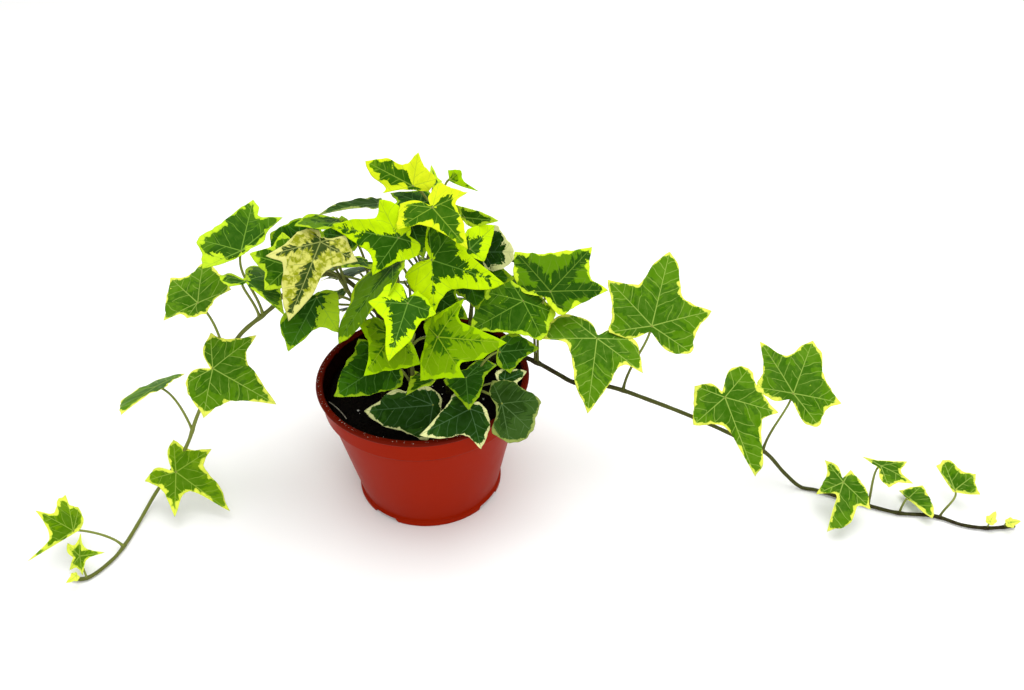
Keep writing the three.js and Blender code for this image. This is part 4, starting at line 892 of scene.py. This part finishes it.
def leaf_material(look):
    """Waxy ivy leaf. The cuticle is smooth and reflects the lamps softly, so roughness is 0.42 to 0.55, and
    higher on the lower face. Pale main veins run to the lobes, with side veins every few millimetres that
    curve forward from alternate sides; the green breaks up into ragged teeth where it meets the pale margin,
    which has no chlorophyll."""
    name = "waxy_leaf_" + look
    if name in bpy.data.materials:
        return bpy.data.materials[name]
    m, add = new_material(name)
    colours, size = LOOKS[look], PATTERN
    plan = add("Attribute:leaf_plan"), "Vector"
    key = add("SeparateXYZ", plan), "Z"
    fields = [add("SeparateXYZ", (add("Attribute:" + field), "Vector"))
              for field in ("leaf_vein", "leaf_side", "leaf_zone")]
    (forward, near, lobe), (side, to_tip, to_cut), (inwards, pale, lower) = (
        [(field, axis) for axis in "XYZ"] for field in fields)

    # Side veins leave a main vein forwards and curve further forward, by turns on its left and right.
    bent = add("Math:MULTIPLY_ADD", near, -0.95, forward)
    bent = add("Math:ADD", bent, add("Math:MULTIPLY", add("Math:MULTIPLY", near, near), 0.022))
    wander = add("TexNoise", plan, 1 / size.wander, 1)
    bent = add("Math:ADD", bent, add("Math:MULTIPLY", wander, 3))
    turns = add("Math:DIVIDE", bent, bpy.context.scene.ivy_leaves.vein_gap / MM)
    phase = add("Math:FRACT", add("Math:MULTIPLY_ADD", side, 0.5, turns))
    between = add("Math:ABSOLUTE", add("Math:SUBTRACT", phase, 0.5))  # 0 on a side vein, 0.5 half-way on

    # Streaks follow the side veins.
    streak_at = add("CombineXYZ", add("Math:MULTIPLY", near, 1 / size.streak_long),
                    add("Math:MULTIPLY", bent, 1 / size.streak), key)
    streaks = add("Math:SUBTRACT", add("TexNoise", streak_at, 1, 3, 0.6), 0.5)
    patches = add("Math:SUBTRACT", add("TexNoise", plan, 1 / size.patch), 0.5)
    teeth = add("Math:SUBTRACT", add("TexNoise", plan, 1 / size.teeth, 2, 0.6), 0.5)

    # The margin comes and goes, and is narrow where a side vein carries green out to it. It is wide in the
    # last few millimetres of a lobe and round the cuts between lobes.
    wide = add("MapRange:SMOOTHSTEP", add("TexNoise", plan, 1 / size.stretch, 1), 0.4, 0.66, 0.1, 2.3)
    wide = add("Math:MULTIPLY", wide, add("Math:MULTIPLY_ADD", between, 1.4, 0.6))
    wide = add("Math:ADD", wide, add("MapRange:SMOOTHSTEP", to_tip, 1.5, 5.5, 1.9, 0))
    wide = add("Math:ADD", wide, add("MapRange:SMOOTHSTEP", to_cut, 1, 4.5, 1.1, 0))
    uneven = add("Math:ADD", add("Math:MULTIPLY", teeth, 1.6), add("Math:MULTIPLY", streaks, 1.8))
    ragged = add("Math:ADD", inwards, uneven)
    ragged = add("Math:SUBTRACT", ragged, add("Math:MULTIPLY", wide, colours.width))
    margin = add("MapRange:SMOOTHSTEP", ragged, -0.12, 0.12, 1, 0)
    sector = add("Math:ADD", add("Math:MULTIPLY", streaks, 1.8), add("Math:MULTIPLY_ADD", teeth, 0.8, pale))
    sector = add("MapRange:SMOOTHSTEP", sector, 0.46, 0.54)
    inner = add("MapRange:SMOOTHSTEP", ragged, -1.6, 0)
    inner = add("Math:MULTIPLY", inner, add("Math:SUBTRACT", 1, sector))
    margin = add("Math:MAXIMUM", margin, sector)

    # The heart: dark green out to its share of the lobe, or to some distance from the veins.
    ribs = add("Math:MULTIPLY", near, colours.ribs / size.rib)
    depth = add("Math:MULTIPLY_ADD", lobe, 1 - colours.ribs, ribs)
    uneven = add("Math:MULTIPLY_ADD", streaks, 1.3, add("Math:MULTIPLY", patches, 0.8))
    depth = add("Math:ADD", depth, uneven)
    depth = add("Math:MULTIPLY_ADD", teeth, 0.25, depth)
    heart = add("MapRange:SMOOTHSTEP", depth, colours.core - 0.08, colours.core + 0.08, 1, 0)
    flesh = colours.flesh
    if colours.mottled:
        spots = add("TexNoise", plan, 1 / size.mottle, 3, 0.6)
        flesh = add("Mix:RGBA", add("MapRange:SMOOTHSTEP", spots, 0.42, 0.58), flesh, colours.mottle)
    green = add("Mix:RGBA", heart, flesh, colours.heart)
    shade = add("MapRange:SMOOTHSTEP", add("TexNoise", plan, 1 / size.cloud, 3, 0.6), 0.3, 0.75, 0, 0.13)
    green = add("Mix:RGBA", shade, green, colours.vein)
    # The margin is blotched, and greener on its inner side.
    blotch = add("MapRange:SMOOTHSTEP", add("TexNoise", plan, 1 / size.blotch, 3), 0.42, 0.58, 0, 0.16)
    blotch = add("Math:MAXIMUM", blotch, add("Math:MULTIPLY", inner, colours.inner))
    yellow = add("Mix:RGBA", blotch, colours.margin, colours.lime)
    surface = add("Mix:RGBA", margin, green, yellow)

    # Main veins thin out towards the lobes' tips, and side veins towards the margin.
    main = add("Math:DIVIDE", near, add("Math:MULTIPLY_ADD", lobe, -0.22, 0.36))
    main = add("MapRange:SMOOTHSTEP", main, 0.45, 1.25, 1, 0)
    forks = add("Math:MULTIPLY", add("MapRange:SMOOTHSTEP", between, 0.01, 0.055, 1, 0),
                add("MapRange:SMOOTHSTEP", lobe, 0.1, 0.3))
    forks = add("Math:MULTIPLY", forks, add("MapRange:SMOOTHSTEP", near, 5, 14, 0.8, 0.3))
    lines = add("Math:MAXIMUM", main, forks)
    shown = add("Math:MULTIPLY", lines, add("Math:MULTIPLY_ADD", margin, -0.5, 0.9))
    surface = add("Mix:RGBA", shown, surface, colours.vein)
    surface = add("Mix:RGBA", lower, surface, add("Mix:RGBA", 0.45, surface, hex_colour("7f9262")))

    gloss = add("MapRange:SMOOTHSTEP", add("TexNoise", plan, 1 / size.gloss), 0.3, 0.7, 0.42, 0.55)
    cells = add("TexVoronoi:DISTANCE_TO_EDGE", plan, Scale=1 / size.net)
    relief = add("Math:MULTIPLY_ADD", lines, -0.35, add("Math:MULTIPLY", cells, 0.3))
    relief = add("Math:MULTIPLY_ADD", patches, 1.2, relief)
    bump = add("Bump", Strength=0.45, Distance=0.3 * MM, Height=relief)
    rough = add("Math:MULTIPLY_ADD", lower, 0.18, gloss)
    add("OutputMaterial", add("BsdfPrincipled", Base_Color=surface, Roughness=rough, Normal=bump, IOR=1.45,
                              Specular_IOR_Level=0.04))
    return m


def stem_material():
    """Ivy stem. Old stretches are rough brown bark and young ones green and smoother, both mottled in 2.2 mm
    patches; the bark's fine grain is drawn 0.5 mm wide, so that it shows."""
    if "ivy_bark" in bpy.data.materials:
        return bpy.data.materials["ivy_bark"]
    m, add = new_material("ivy_bark")
    age = add("SeparateXYZ", (add("Attribute:stem_age"), "Vector"))
    place = add("TexCoord"), "Object"
    mottle = add("TexNoise", place, 1 / (2.2 * MM), 3)
    young = add("Mix:RGBA", mottle, hex_colour("64701c"), hex_colour("949e50"))
    old = add("Mix:RGBA", mottle, hex_colour("100c04"), hex_colour("302810"))
    share = add("Math:ADD", age, add("Math:MULTIPLY_ADD", mottle, 0.5, -0.25), use_clamp=True)
    bump = add("Bump", Strength=0.5, Distance=0.15 * MM, Height=add("TexNoise", place, 1 / (0.5 * MM)))
    add("OutputMaterial", add("BsdfPrincipled", Base_Color=add("Mix:RGBA", share, young, old), Normal=bump,
                              Roughness=add("MapRange", share, To_Min=0.42, To_Max=0.75), IOR=1.45,
                              Specular_IOR_Level=0.15))
    return m


def pot_material():
    """Injection-moulded polypropylene, terracotta red: a satin skin that reflects the lamps softly, clouded
    in 22 mm patches, with a faint grain of 0.7 mm and a darker top to the lip. Inside, the wall is darkened
    to near black up to a ragged line under the lip."""
    m, add = new_material("moulded_polypropylene")
    place = add("TexCoord"), "Object"
    height = add("SeparateXYZ", place), "Z"
    cloud = add("TexNoise", place, 1 / (22 * MM), 3)
    body = list(bpy.context.scene.ivy_pot.colour)
    colour = add("Mix:RGBA", cloud, body + [1], [c * 1.12 for c in body] + [1])
    lip = add("MapRange:SMOOTHSTEP", height, (POT.height - 3.2) * MM, (POT.height - 1.8) * MM, 0, 0.75)
    colour = add("Mix:RGBA", lip, colour, hex_colour("4a0c02"))
    # Inside, the wall is darkened to near black up to a ragged line under the lip.
    ragged = add("Math:MULTIPLY_ADD", add("TexNoise", place, 1 / (3 * MM), 3), 3 * MM, height)
    below = add("MapRange", ragged, (POT.height - 0.4) * MM, (POT.height + 0.4) * MM, 0.97, 0)
    inside_dark = add("Math:MULTIPLY", (add("Attribute:wall_inside"), "Fac"), below)
    colour = add("Mix:RGBA", inside_dark, colour, hex_colour("060403"))
    bump = add("Bump", Strength=0.12, Distance=0.05 * MM, Height=add("TexNoise", place, 1 / (0.7 * MM)))
    rough = add("MapRange", cloud, 0.3, 0.7, 0.3, 0.4)
    add("OutputMaterial", add("BsdfPrincipled", Base_Color=colour, Roughness=rough, Normal=bump, IOR=1.49,
                              Specular_IOR_Level=0.035))
    return m


def grain_material(name, dark, light, size, roughness):
    """Loose mineral or peat grain: matt, mottled between two colours in spots of the size in mm, and rough
    all over with a bump of the same size."""
    m, add = new_material(name)
    spots = add("TexNoise", (add("TexCoord"), "Object"), 1 / (size * MM), 4, 0.6)
    tone = add("MapRange", spots, 0.35, 0.7)
    bump = add("Bump", Strength=0.8, Distance=0.4 * size * MM, Height=spots)
    add("OutputMaterial", add("BsdfPrincipled", IOR=1.45, Specular_IOR_Level=0.06, Normal=bump,
                              Base_Color=add("Mix:RGBA", tone, hex_colour(dark), hex_colour(light)),
                              Roughness=add("MapRange", spots, To_Min=roughness - 0.08, To_Max=1)))
    return m


# ---------------------------------------------------------------- pot and soil

def rounded(profile, radius, steps=3):
    """A profile whose corners are rounded: each corner gives way to a quadratic curve between points at the
    radius, or at under half of its sides, before and behind it."""
    p = np.asarray(profile, float)
    before, corner, after = p[:-2], p[1:-1], p[2:]
    sides = [v - corner for v in (before, after)]
    start, end = (corner + side * np.minimum(radius / np.linalg.norm(side, axis=1, keepdims=True), 0.45)
                  for side in sides)
    t = np.linspace(0, 1, steps + 1)[None, :, None]
    arc = start[:, None] * (1 - t)**2 + corner[:, None] * 2 * t * (1 - t) + end[:, None] * t**2
    return np.vstack([p[:1], arc.reshape(-1, 2), p[-1:]])


def pot_profile():
    """The wall's section as (radius, height), from the middle of the bottom, out and up, over the lip and
    down inside. The bare numbers are small steps and eased corners, in mm."""
    p = POT
    fall, ring, lining = p.height - p.drop, p.foot - p.foot_width, p.collar - p.wall
    return [
        (0, 0), (p.pad, 0), (p.pad + 2, p.foot_height), (ring - 1, p.foot_height), (ring, 0),
        (p.foot - 0.4, 0), (p.foot, 0.5), (p.foot, p.foot_height - 0.2), (p.heel, p.foot_height + 0.5),
        (p.shoulder, fall - 0.6), (p.shoulder + 1.6, fall), (p.collar - 0.6, fall + 0.8),
        (p.collar, p.height - p.lip - 1), (p.rim - 0.3, p.height - p.lip), (p.rim, p.height - 0.5 * p.lip),
        (p.rim - 0.7, p.height), (lining + 0.5, p.height), (lining - 0.3, p.height - 1),
        (lining - 0.8, fall + 0.4), INSIDE_HIGH, INSIDE_LOW, (p.heel - p.wall - 1, p.foot_height + p.wall),
        (p.pad + 2.6, p.foot_height + p.wall), (p.pad + 0.6, p.wall), (0, p.wall),
    ]


def lathe(profile, around):
    """A profile of (radius, height) turned about Z, from the pole at its first point to the pole at its
    last. Gives the rings, to be bent further, and the two poles."""
    turn = np.linspace(0, CIRCLE, around, endpoint=False)
    radius, height = np.asarray(profile, float)[1:-1, :, None].transpose(1, 0, 2)
    rings = np.stack([radius * np.sin(turn), -radius * np.cos(turn), height + 0 * turn], -1)
    return rings, (0, 0, profile[0][1]), (0, 0, profile[-1][1])


def inside_radius(z):
    """Radius of the pot's inside wall at a height: straight between its foot and its collar."""
    (start, low), (end, high) = INSIDE_LOW, INSIDE_HIGH
    return start + (end - start) * (z - low) / (high - low)


def cut_drains(piece):
    """Cuts the drain holes, a ring of upright cylinders, out of the pot's mesh."""
    group = bpy.data.collections.new("drain_cutters")
    for i in range(DRAINS.count):
        turn = (i + 0.5) / DRAINS.count * CIRCLE
        bpy.ops.mesh.primitive_cylinder_add(
            vertices=DRAINS.facets, radius=DRAINS.radius * MM, depth=DRAINS.depth * MM,
            location=(DRAINS.ring * MM * math.cos(turn), DRAINS.ring * MM * math.sin(turn),
                      POT.foot_height * MM))
        group.objects.link(bpy.context.object)
    cut = piece.modifiers.new("drains", "BOOLEAN")
    cut.operand_type, cut.operation, cut.collection, cut.solver = "COLLECTION", "DIFFERENCE", group, "EXACT"
    done = bpy.data.meshes.new_from_object(piece.evaluated_get(bpy.context.evaluated_depsgraph_get()))
    piece.modifiers.clear()
    piece.data = done
    for cutter in list(group.objects):
        bpy.data.objects.remove(cutter)
    bpy.data.collections.remove(group)
    done.polygons.foreach_set("use_smooth", np.ones(len(done.polygons), bool))


def mark_inside(mesh):
    """Marks with 1 the points of the inside wall: nearer the axis than the middle of the wall, and above the
    bottom."""
    points = np.zeros(3 * len(mesh.vertices))
    mesh.vertices.foreach_get("co", points)
    x, y, z = points.reshape(-1, 3).T / MM
    lining = np.where(z < POT.height - POT.drop - 1, inside_radius(z), POT.collar - POT.wall)
    inside = (np.hypot(x, y) < lining + 0.5 * POT.wall) & (z > POT.foot_height + 0.5 * POT.wall)
    mark = mesh.attributes.new("wall_inside", "FLOAT", "POINT")
    mark.data.foreach_set("value", inside.astype(np.float32))


def make_pot():
    """The pot: its section, with rounded corners and short spans, turned about Z. In the notches the foot
    ring's underside is lifted to the bottom. Six drain holes are then cut through the bottom."""
    section = rounded(pot_profile(), POT.ease)
    run = run_of(section)
    places = np.unique(np.round(np.concatenate([run, np.arange(POT.span, run[-1], POT.span)]), 3))
    rings, first, last = lathe(spaced(section, places, run), bpy.context.scene.ivy_pot.facets)
    x, y, z = rings.transpose(2, 0, 1)
    turn = np.degrees(np.arctan2(x, -y))
    half = np.degrees(NOTCHES.width / 2 / POT.foot)
    in_ring = (np.hypot(x, y) > POT.foot - POT.foot_width - NOTCHES.inside) & (z < POT.foot_height)
    gaps = [np.abs((turn - angle + 180) % 360 - 180) for angle in NOTCHES.angles]
    top = POT.foot_height - NOTCHES.top - NOTCHES.slope * (1 - z / POT.foot_height)
    rings[..., 2] = np.where(in_ring & (np.min(gaps, axis=0) < half), top, z)
    piece = put_mesh("pot_wall", [shell(rings, first, last)], [pot_material()], "pot_plastic", "pot")
    cut_drains(piece)
    mark_inside(piece.data)


SOIL_EDGE = inside_radius(SOIL.brim) - SOIL.gap  # radius of the soil's top


def soil_top(x, y):
    """Height of the soil's top: a low mound of lumps, flat at the edge by the fourth power of the radius,
    with crumbs of four sizes on it that fade out at the edge."""
    share = np.hypot(x, y) / SOIL_EDGE
    # Broad hills, 20 to 37 mm from crest to crest.
    broad = np.sin(0.31 * x + 1.3) * np.cos(0.27 * y) + np.sin(0.17 * x - 0.23 * y)
    crumbs = sum(height * np.abs(lumps(x, y, size, SEED + i)) for i, (size, height) in enumerate(CRUMBS))
    low = (1 - share**4) * (SOIL.mound + SOIL.bump * broad)
    return SOIL.level + low + (crumbs - SOIL.sunk) * np.clip((1 - share) * SOIL.fade, 0, 1)


def grains(count, sizes, place, seed):
    """Loose grains: an icosahedron's twelve corners, each pushed in or out at random, stretched and turned.
    place gives the middle of each grain from two random numbers."""
    draw = np.random.default_rng(seed)
    g = (1 + 5**0.5) / 2
    corners = unit(np.array([(-1, g, 0), (1, g, 0), (-1, -g, 0), (1, -g, 0), (0, -1, g), (0, 1, g),
                             (0, -1, -g), (0, 1, -g), (g, 0, -1), (g, 0, 1), (-g, 0, -1), (-g, 0, 1)]))
    sides = np.array([(0, 11, 5), (0, 5, 1), (0, 1, 7), (0, 7, 10), (0, 10, 11), (1, 5, 9), (5, 11, 4),
                      (11, 10, 2), (10, 7, 6), (7, 1, 8), (3, 9, 4), (3, 4, 2), (3, 2, 6), (3, 6, 8),
                      (3, 8, 9), (4, 9, 5), (2, 4, 11), (6, 2, 10), (8, 6, 7), (9, 8, 1)])
    middle = place(draw.random(count), draw.random(count))
    size = draw.uniform(*sizes, (count, 1, 1)) / 2
    push = draw.uniform(*LOOSE.push, (count, 12, 1))
    stretch = draw.uniform(*LOOSE.stretch, (count, 1, 3))
    w, x, y, z = unit(draw.normal(size=(count, 4))).T
    turn = np.array([[1 - 2 * (y * y + z * z), 2 * (x * y - z * w), 2 * (x * z + y * w)],
                     [2 * (x * y + z * w), 1 - 2 * (x * x + z * z), 2 * (y * z - x * w)],
                     [2 * (x * z - y * w), 2 * (y * z + x * w), 1 - 2 * (x * x + y * y)]])
    points = np.einsum("abn,nkb->nka", turn, corners * push * stretch * size) + middle[:, None]
    index = (sides[None] + 12 * np.arange(count)[:, None, None]).reshape(-1, 3)
    return dict(points=points.reshape(-1, 3), fans=index)


def on_soil(reach):
    """A place for grains: even over the disc inside the reach, on the soil's top."""
    def place(a, b):
        radius, turn = reach * np.sqrt(a), CIRCLE * b
        x, y = radius * np.cos(turn), radius * np.sin(turn)
        return np.column_stack([x, y, soil_top(x, y) + LOOSE.raised])
    return place


def on_lip(a, b):
    """A place for dust: even over the dusty stretch of the pot's lip."""
    turn = np.radians(DUSTY.first + DUSTY.turn * a)
    radius = POT.collar - POT.wall + DUSTY.inside + DUSTY.width * b
    return np.column_stack([radius * np.sin(turn), -radius * np.cos(turn), 0 * a + POT.height])


def make_soil():
    """The soil: a turned section, a gap clear of the pot, under a top of crumbs, loose crumbs and perlite on
    it, and a dry root."""
    bottom, floor = POT.wall + SOIL.gap, POT.foot_height + POT.wall + SOIL.gap
    side = [(0, bottom), (POT.pad + 0.2, bottom), (POT.pad + 2.2, floor),
            (POT.heel - POT.wall - 1.4 - SOIL.gap, floor),
            (inside_radius(SOIL.foot) - SOIL.gap - 0.2, SOIL.foot), (SOIL_EDGE, SOIL.brim)]
    top = [(radius, SOIL.level) for radius in (*np.linspace(SOIL_EDGE, SOIL.middle, SOIL.rings), 0)]
    rings, first, _ = lathe(side + top, SOIL.around)
    x, y, z = rings.transpose(2, 0, 1)
    rings[..., 2] = np.where(z > SOIL.level - 0.01, soil_top(x, y), z)
    bed = shell(rings, first, (0, 0, float(soil_top(np.array(0.0), np.array(0.0)))))

    def loose(kind, seed):
        count, sizes, inside = kind
        return grains(count, sizes, on_soil(SOIL_EDGE - inside), SEED + seed)

    peat = grain_material("loose_peat", "020201", "120c08", 1.4, 0.9)
    perlite = grain_material("expanded_perlite", "9a978c", "efece2", 0.6, 0.85)
    fibre = grain_material("dry_root", "6b6253", "b9b1a0", 0.8, 0.8)
    put_mesh("soil_bed", [bed, loose(LOOSE.peat, 20)], [peat], "potting_soil", "soil")
    dust = grains(*LOOSE.dust, on_lip, SEED + 22)
    put_mesh("perlite_grains", [loose(LOOSE.perlite, 21), dust], [perlite], "potting_soil")
    way = smooth_curve([at_height(row, SOIL.level + row[2]) for row in ROOT.way])
    thread, _ = resample(way, ROOT.step)
    root = tube(thread, np.full(len(thread), ROOT.radius), ROOT.around)
    put_mesh("dry_root", [root], [fibre], "potting_soil")


# ---------------------------------------------------------------- stage

AIM = (0.05, 0, 0.08)  # the point that the lamps shine on, in metres
LAMPS = [  # name, place and width in metres, and power over that of the lamp overhead
    ("overhead", (0.12, 0.1, 1.1), 1.1, 1),
    ("front", (0.5, -1.2, 0.9), 0.8, 0.45),
]
FLOOR_SIDE = 8  # metres
FILM = 36.0  # width of the camera's film in mm


def make_stage():
    """A pale floor, a white sky, one broad lamp overhead and one in front, and the camera that the photo
    was taken with."""
    scene = bpy.context.scene
    settings = scene.ivy_stage
    scene.view_settings.view_transform = "Standard"
    scene.view_settings.look = "None"
    bpy.ops.mesh.primitive_plane_add(size=FLOOR_SIDE, location=(0, 0, 0))
    floor = bpy.context.object
    floor.name = "floor"
    paper, add = new_material("matt_paper")
    add("OutputMaterial", add("BsdfPrincipled", Base_Color=[*settings.floor, 1], Roughness=0.9,
                              Specular_IOR_Level=0.1))
    floor.data.materials.append(paper)

    scene.world = bpy.data.worlds.new("studio")
    scene.world.use_nodes = True
    sky = scene.world.node_tree.nodes["Background"].inputs
    sky["Color"].default_value = (1, 1, 1, 1)
    sky["Strength"].default_value = settings.sky

    for name, place, size, power in LAMPS:
        data = bpy.data.lights.new(name, "AREA")
        data.shape, data.size, data.energy = "DISK", size, power * settings.lamp
        lamp = bpy.data.objects.new(name, data)
        aim = unit(np.array(AIM) - np.array(place))
        side = unit(np.cross(aim, (0.0, 1.0, 0.1)))
        turn = np.column_stack([side, np.cross(side, aim), -aim])
        lamp.matrix_world = Matrix.Translation(place) @ Matrix(turn.tolist()).to_4x4()
        scene.collection.objects.link(lamp)

    data = bpy.data.cameras.new("camera")
    data.sensor_width = FILM
    data.lens = VIEW.focal / (2 * VIEW.middle[0]) * FILM
    data.clip_start, data.clip_end = 0.01, 20
    camera = bpy.data.objects.new("camera", data)
    turn = Matrix(np.column_stack([RIGHT, UP, -AHEAD]).tolist()).to_4x4()
    camera.matrix_world = Matrix.Translation((EYE * MM).tolist()) @ turn
    scene.collection.objects.link(camera)
    scene.camera = camera


# ---------------------------------------------------------------- the add-on

class PotSettings(PropertyGroup):
    """Sizes and colour of the pot."""
    facets: IntProperty(name="Facets", description="Faces round the pot", default=240, min=24, max=480)
    colour: FloatVectorProperty(name="Colour", description="Colour of the plastic", subtype="COLOR", size=3,
                                default=hex_colour("8c1a00")[:3], min=0, max=1)


class LeafSettings(PropertyGroup):
    """How fine the leaves are."""
    thickness: FloatProperty(name="Thickness", description="Thickness of a blade at its stalk",
                             default=0.5 * MM, min=0.2 * MM, max=1 * MM, unit="LENGTH", precision=5)
    vein_gap: FloatProperty(name="Side veins", description="Distance between side veins", default=6.2 * MM,
                            min=2 * MM, max=12 * MM, unit="LENGTH", precision=5)
    steps: IntProperty(name="Steps", description="Steps of the edge between two of its corners", default=9,
                       min=2, max=16)


class StageSettings(PropertyGroup):
    """Floor and light."""
    floor: FloatVectorProperty(name="Floor", description="Colour of the floor", subtype="COLOR", size=3,
                               default=(0.96, 0.96, 0.95), min=0, max=1)
    sky: FloatProperty(name="Sky", description="Strength of the white sky", default=0.85, min=0, max=4)
    lamp: FloatProperty(name="Lamp", description="Power of the overhead lamp", default=8.4, min=0, max=200,
                        unit="POWER")


class IVY_OT_pot(Operator):
    """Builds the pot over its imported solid"""
    bl_idname = "ivy.pot"
    bl_label = "Pot"

    def execute(self, context):
        make_pot()
        return {"FINISHED"}


class IVY_OT_soil(Operator):
    """Fills the pot with soil, perlite and a dry root"""
    bl_idname = "ivy.soil"
    bl_label = "Soil"

    def execute(self, context):
        make_soil()
        return {"FINISHED"}


class IVY_OT_stems(Operator):
    """Grows the leafy stems that names lists"""
    bl_idname = "ivy.stems"
    bl_label = "Leafy stems"
    names: StringProperty(name="Names", description="Stems, with a space between their names", default="")

    def execute(self, context):
        behind = hidden_leaves()
        for name in self.names.split():
            leafy_stem(name, SEEN_LEAVES.get(name) or [row for row in behind if row["stem"] == name])
        return {"FINISHED"}


class IVY_OT_stage(Operator):
    """Lays the floor and sets the lamps and the camera"""
    bl_idname = "ivy.stage"
    bl_label = "Stage"

    def execute(self, context):
        make_stage()
        return {"FINISHED"}


SETTINGS = dict(ivy_pot=PotSettings, ivy_leaves=LeafSettings, ivy_stage=StageSettings)


class IVY_PT_panel(Panel):
    """Lists the settings and the steps of the build."""
    bl_idname = "IVY_PT_panel"
    bl_label = "Potted ivy"
    bl_space_type = "VIEW_3D"
    bl_region_type = "UI"
    bl_category = "Ivy"

    def draw(self, context):
        for name, group in SETTINGS.items():
            box = self.layout.box()
            for key in group.__annotations__:
                box.prop(getattr(context.scene, name), key)
        for name in ("ivy.stage", "ivy.pot", "ivy.soil"):
            self.layout.operator(name)
        self.layout.operator("ivy.stems").names = " ".join(STEMS)


CLASSES = (*SETTINGS.values(), IVY_OT_pot, IVY_OT_soil, IVY_OT_stems, IVY_OT_stage, IVY_PT_panel)


def register():
    """Registers the classes and hangs their settings on the scene."""
    for kind in CLASSES:
        bpy.utils.register_class(kind)
    for name, group in SETTINGS.items():
        setattr(bpy.types.Scene, name, PointerProperty(type=group))


def unregister():
    """Takes the settings off the scene and the classes out again."""
    for name in SETTINGS:
        delattr(bpy.types.Scene, name)
    for kind in reversed(CLASSES):
        bpy.utils.unregister_class(kind)


def main():
    """Builds the whole scene."""
    register()
    bpy.ops.ivy.stage()
    bpy.ops.ivy.pot()
    bpy.ops.ivy.soil()
    bpy.ops.ivy.stems(names=" ".join(STEMS))
    bpy.context.view_layer.update()


if __name__ == "__main__":
    main()
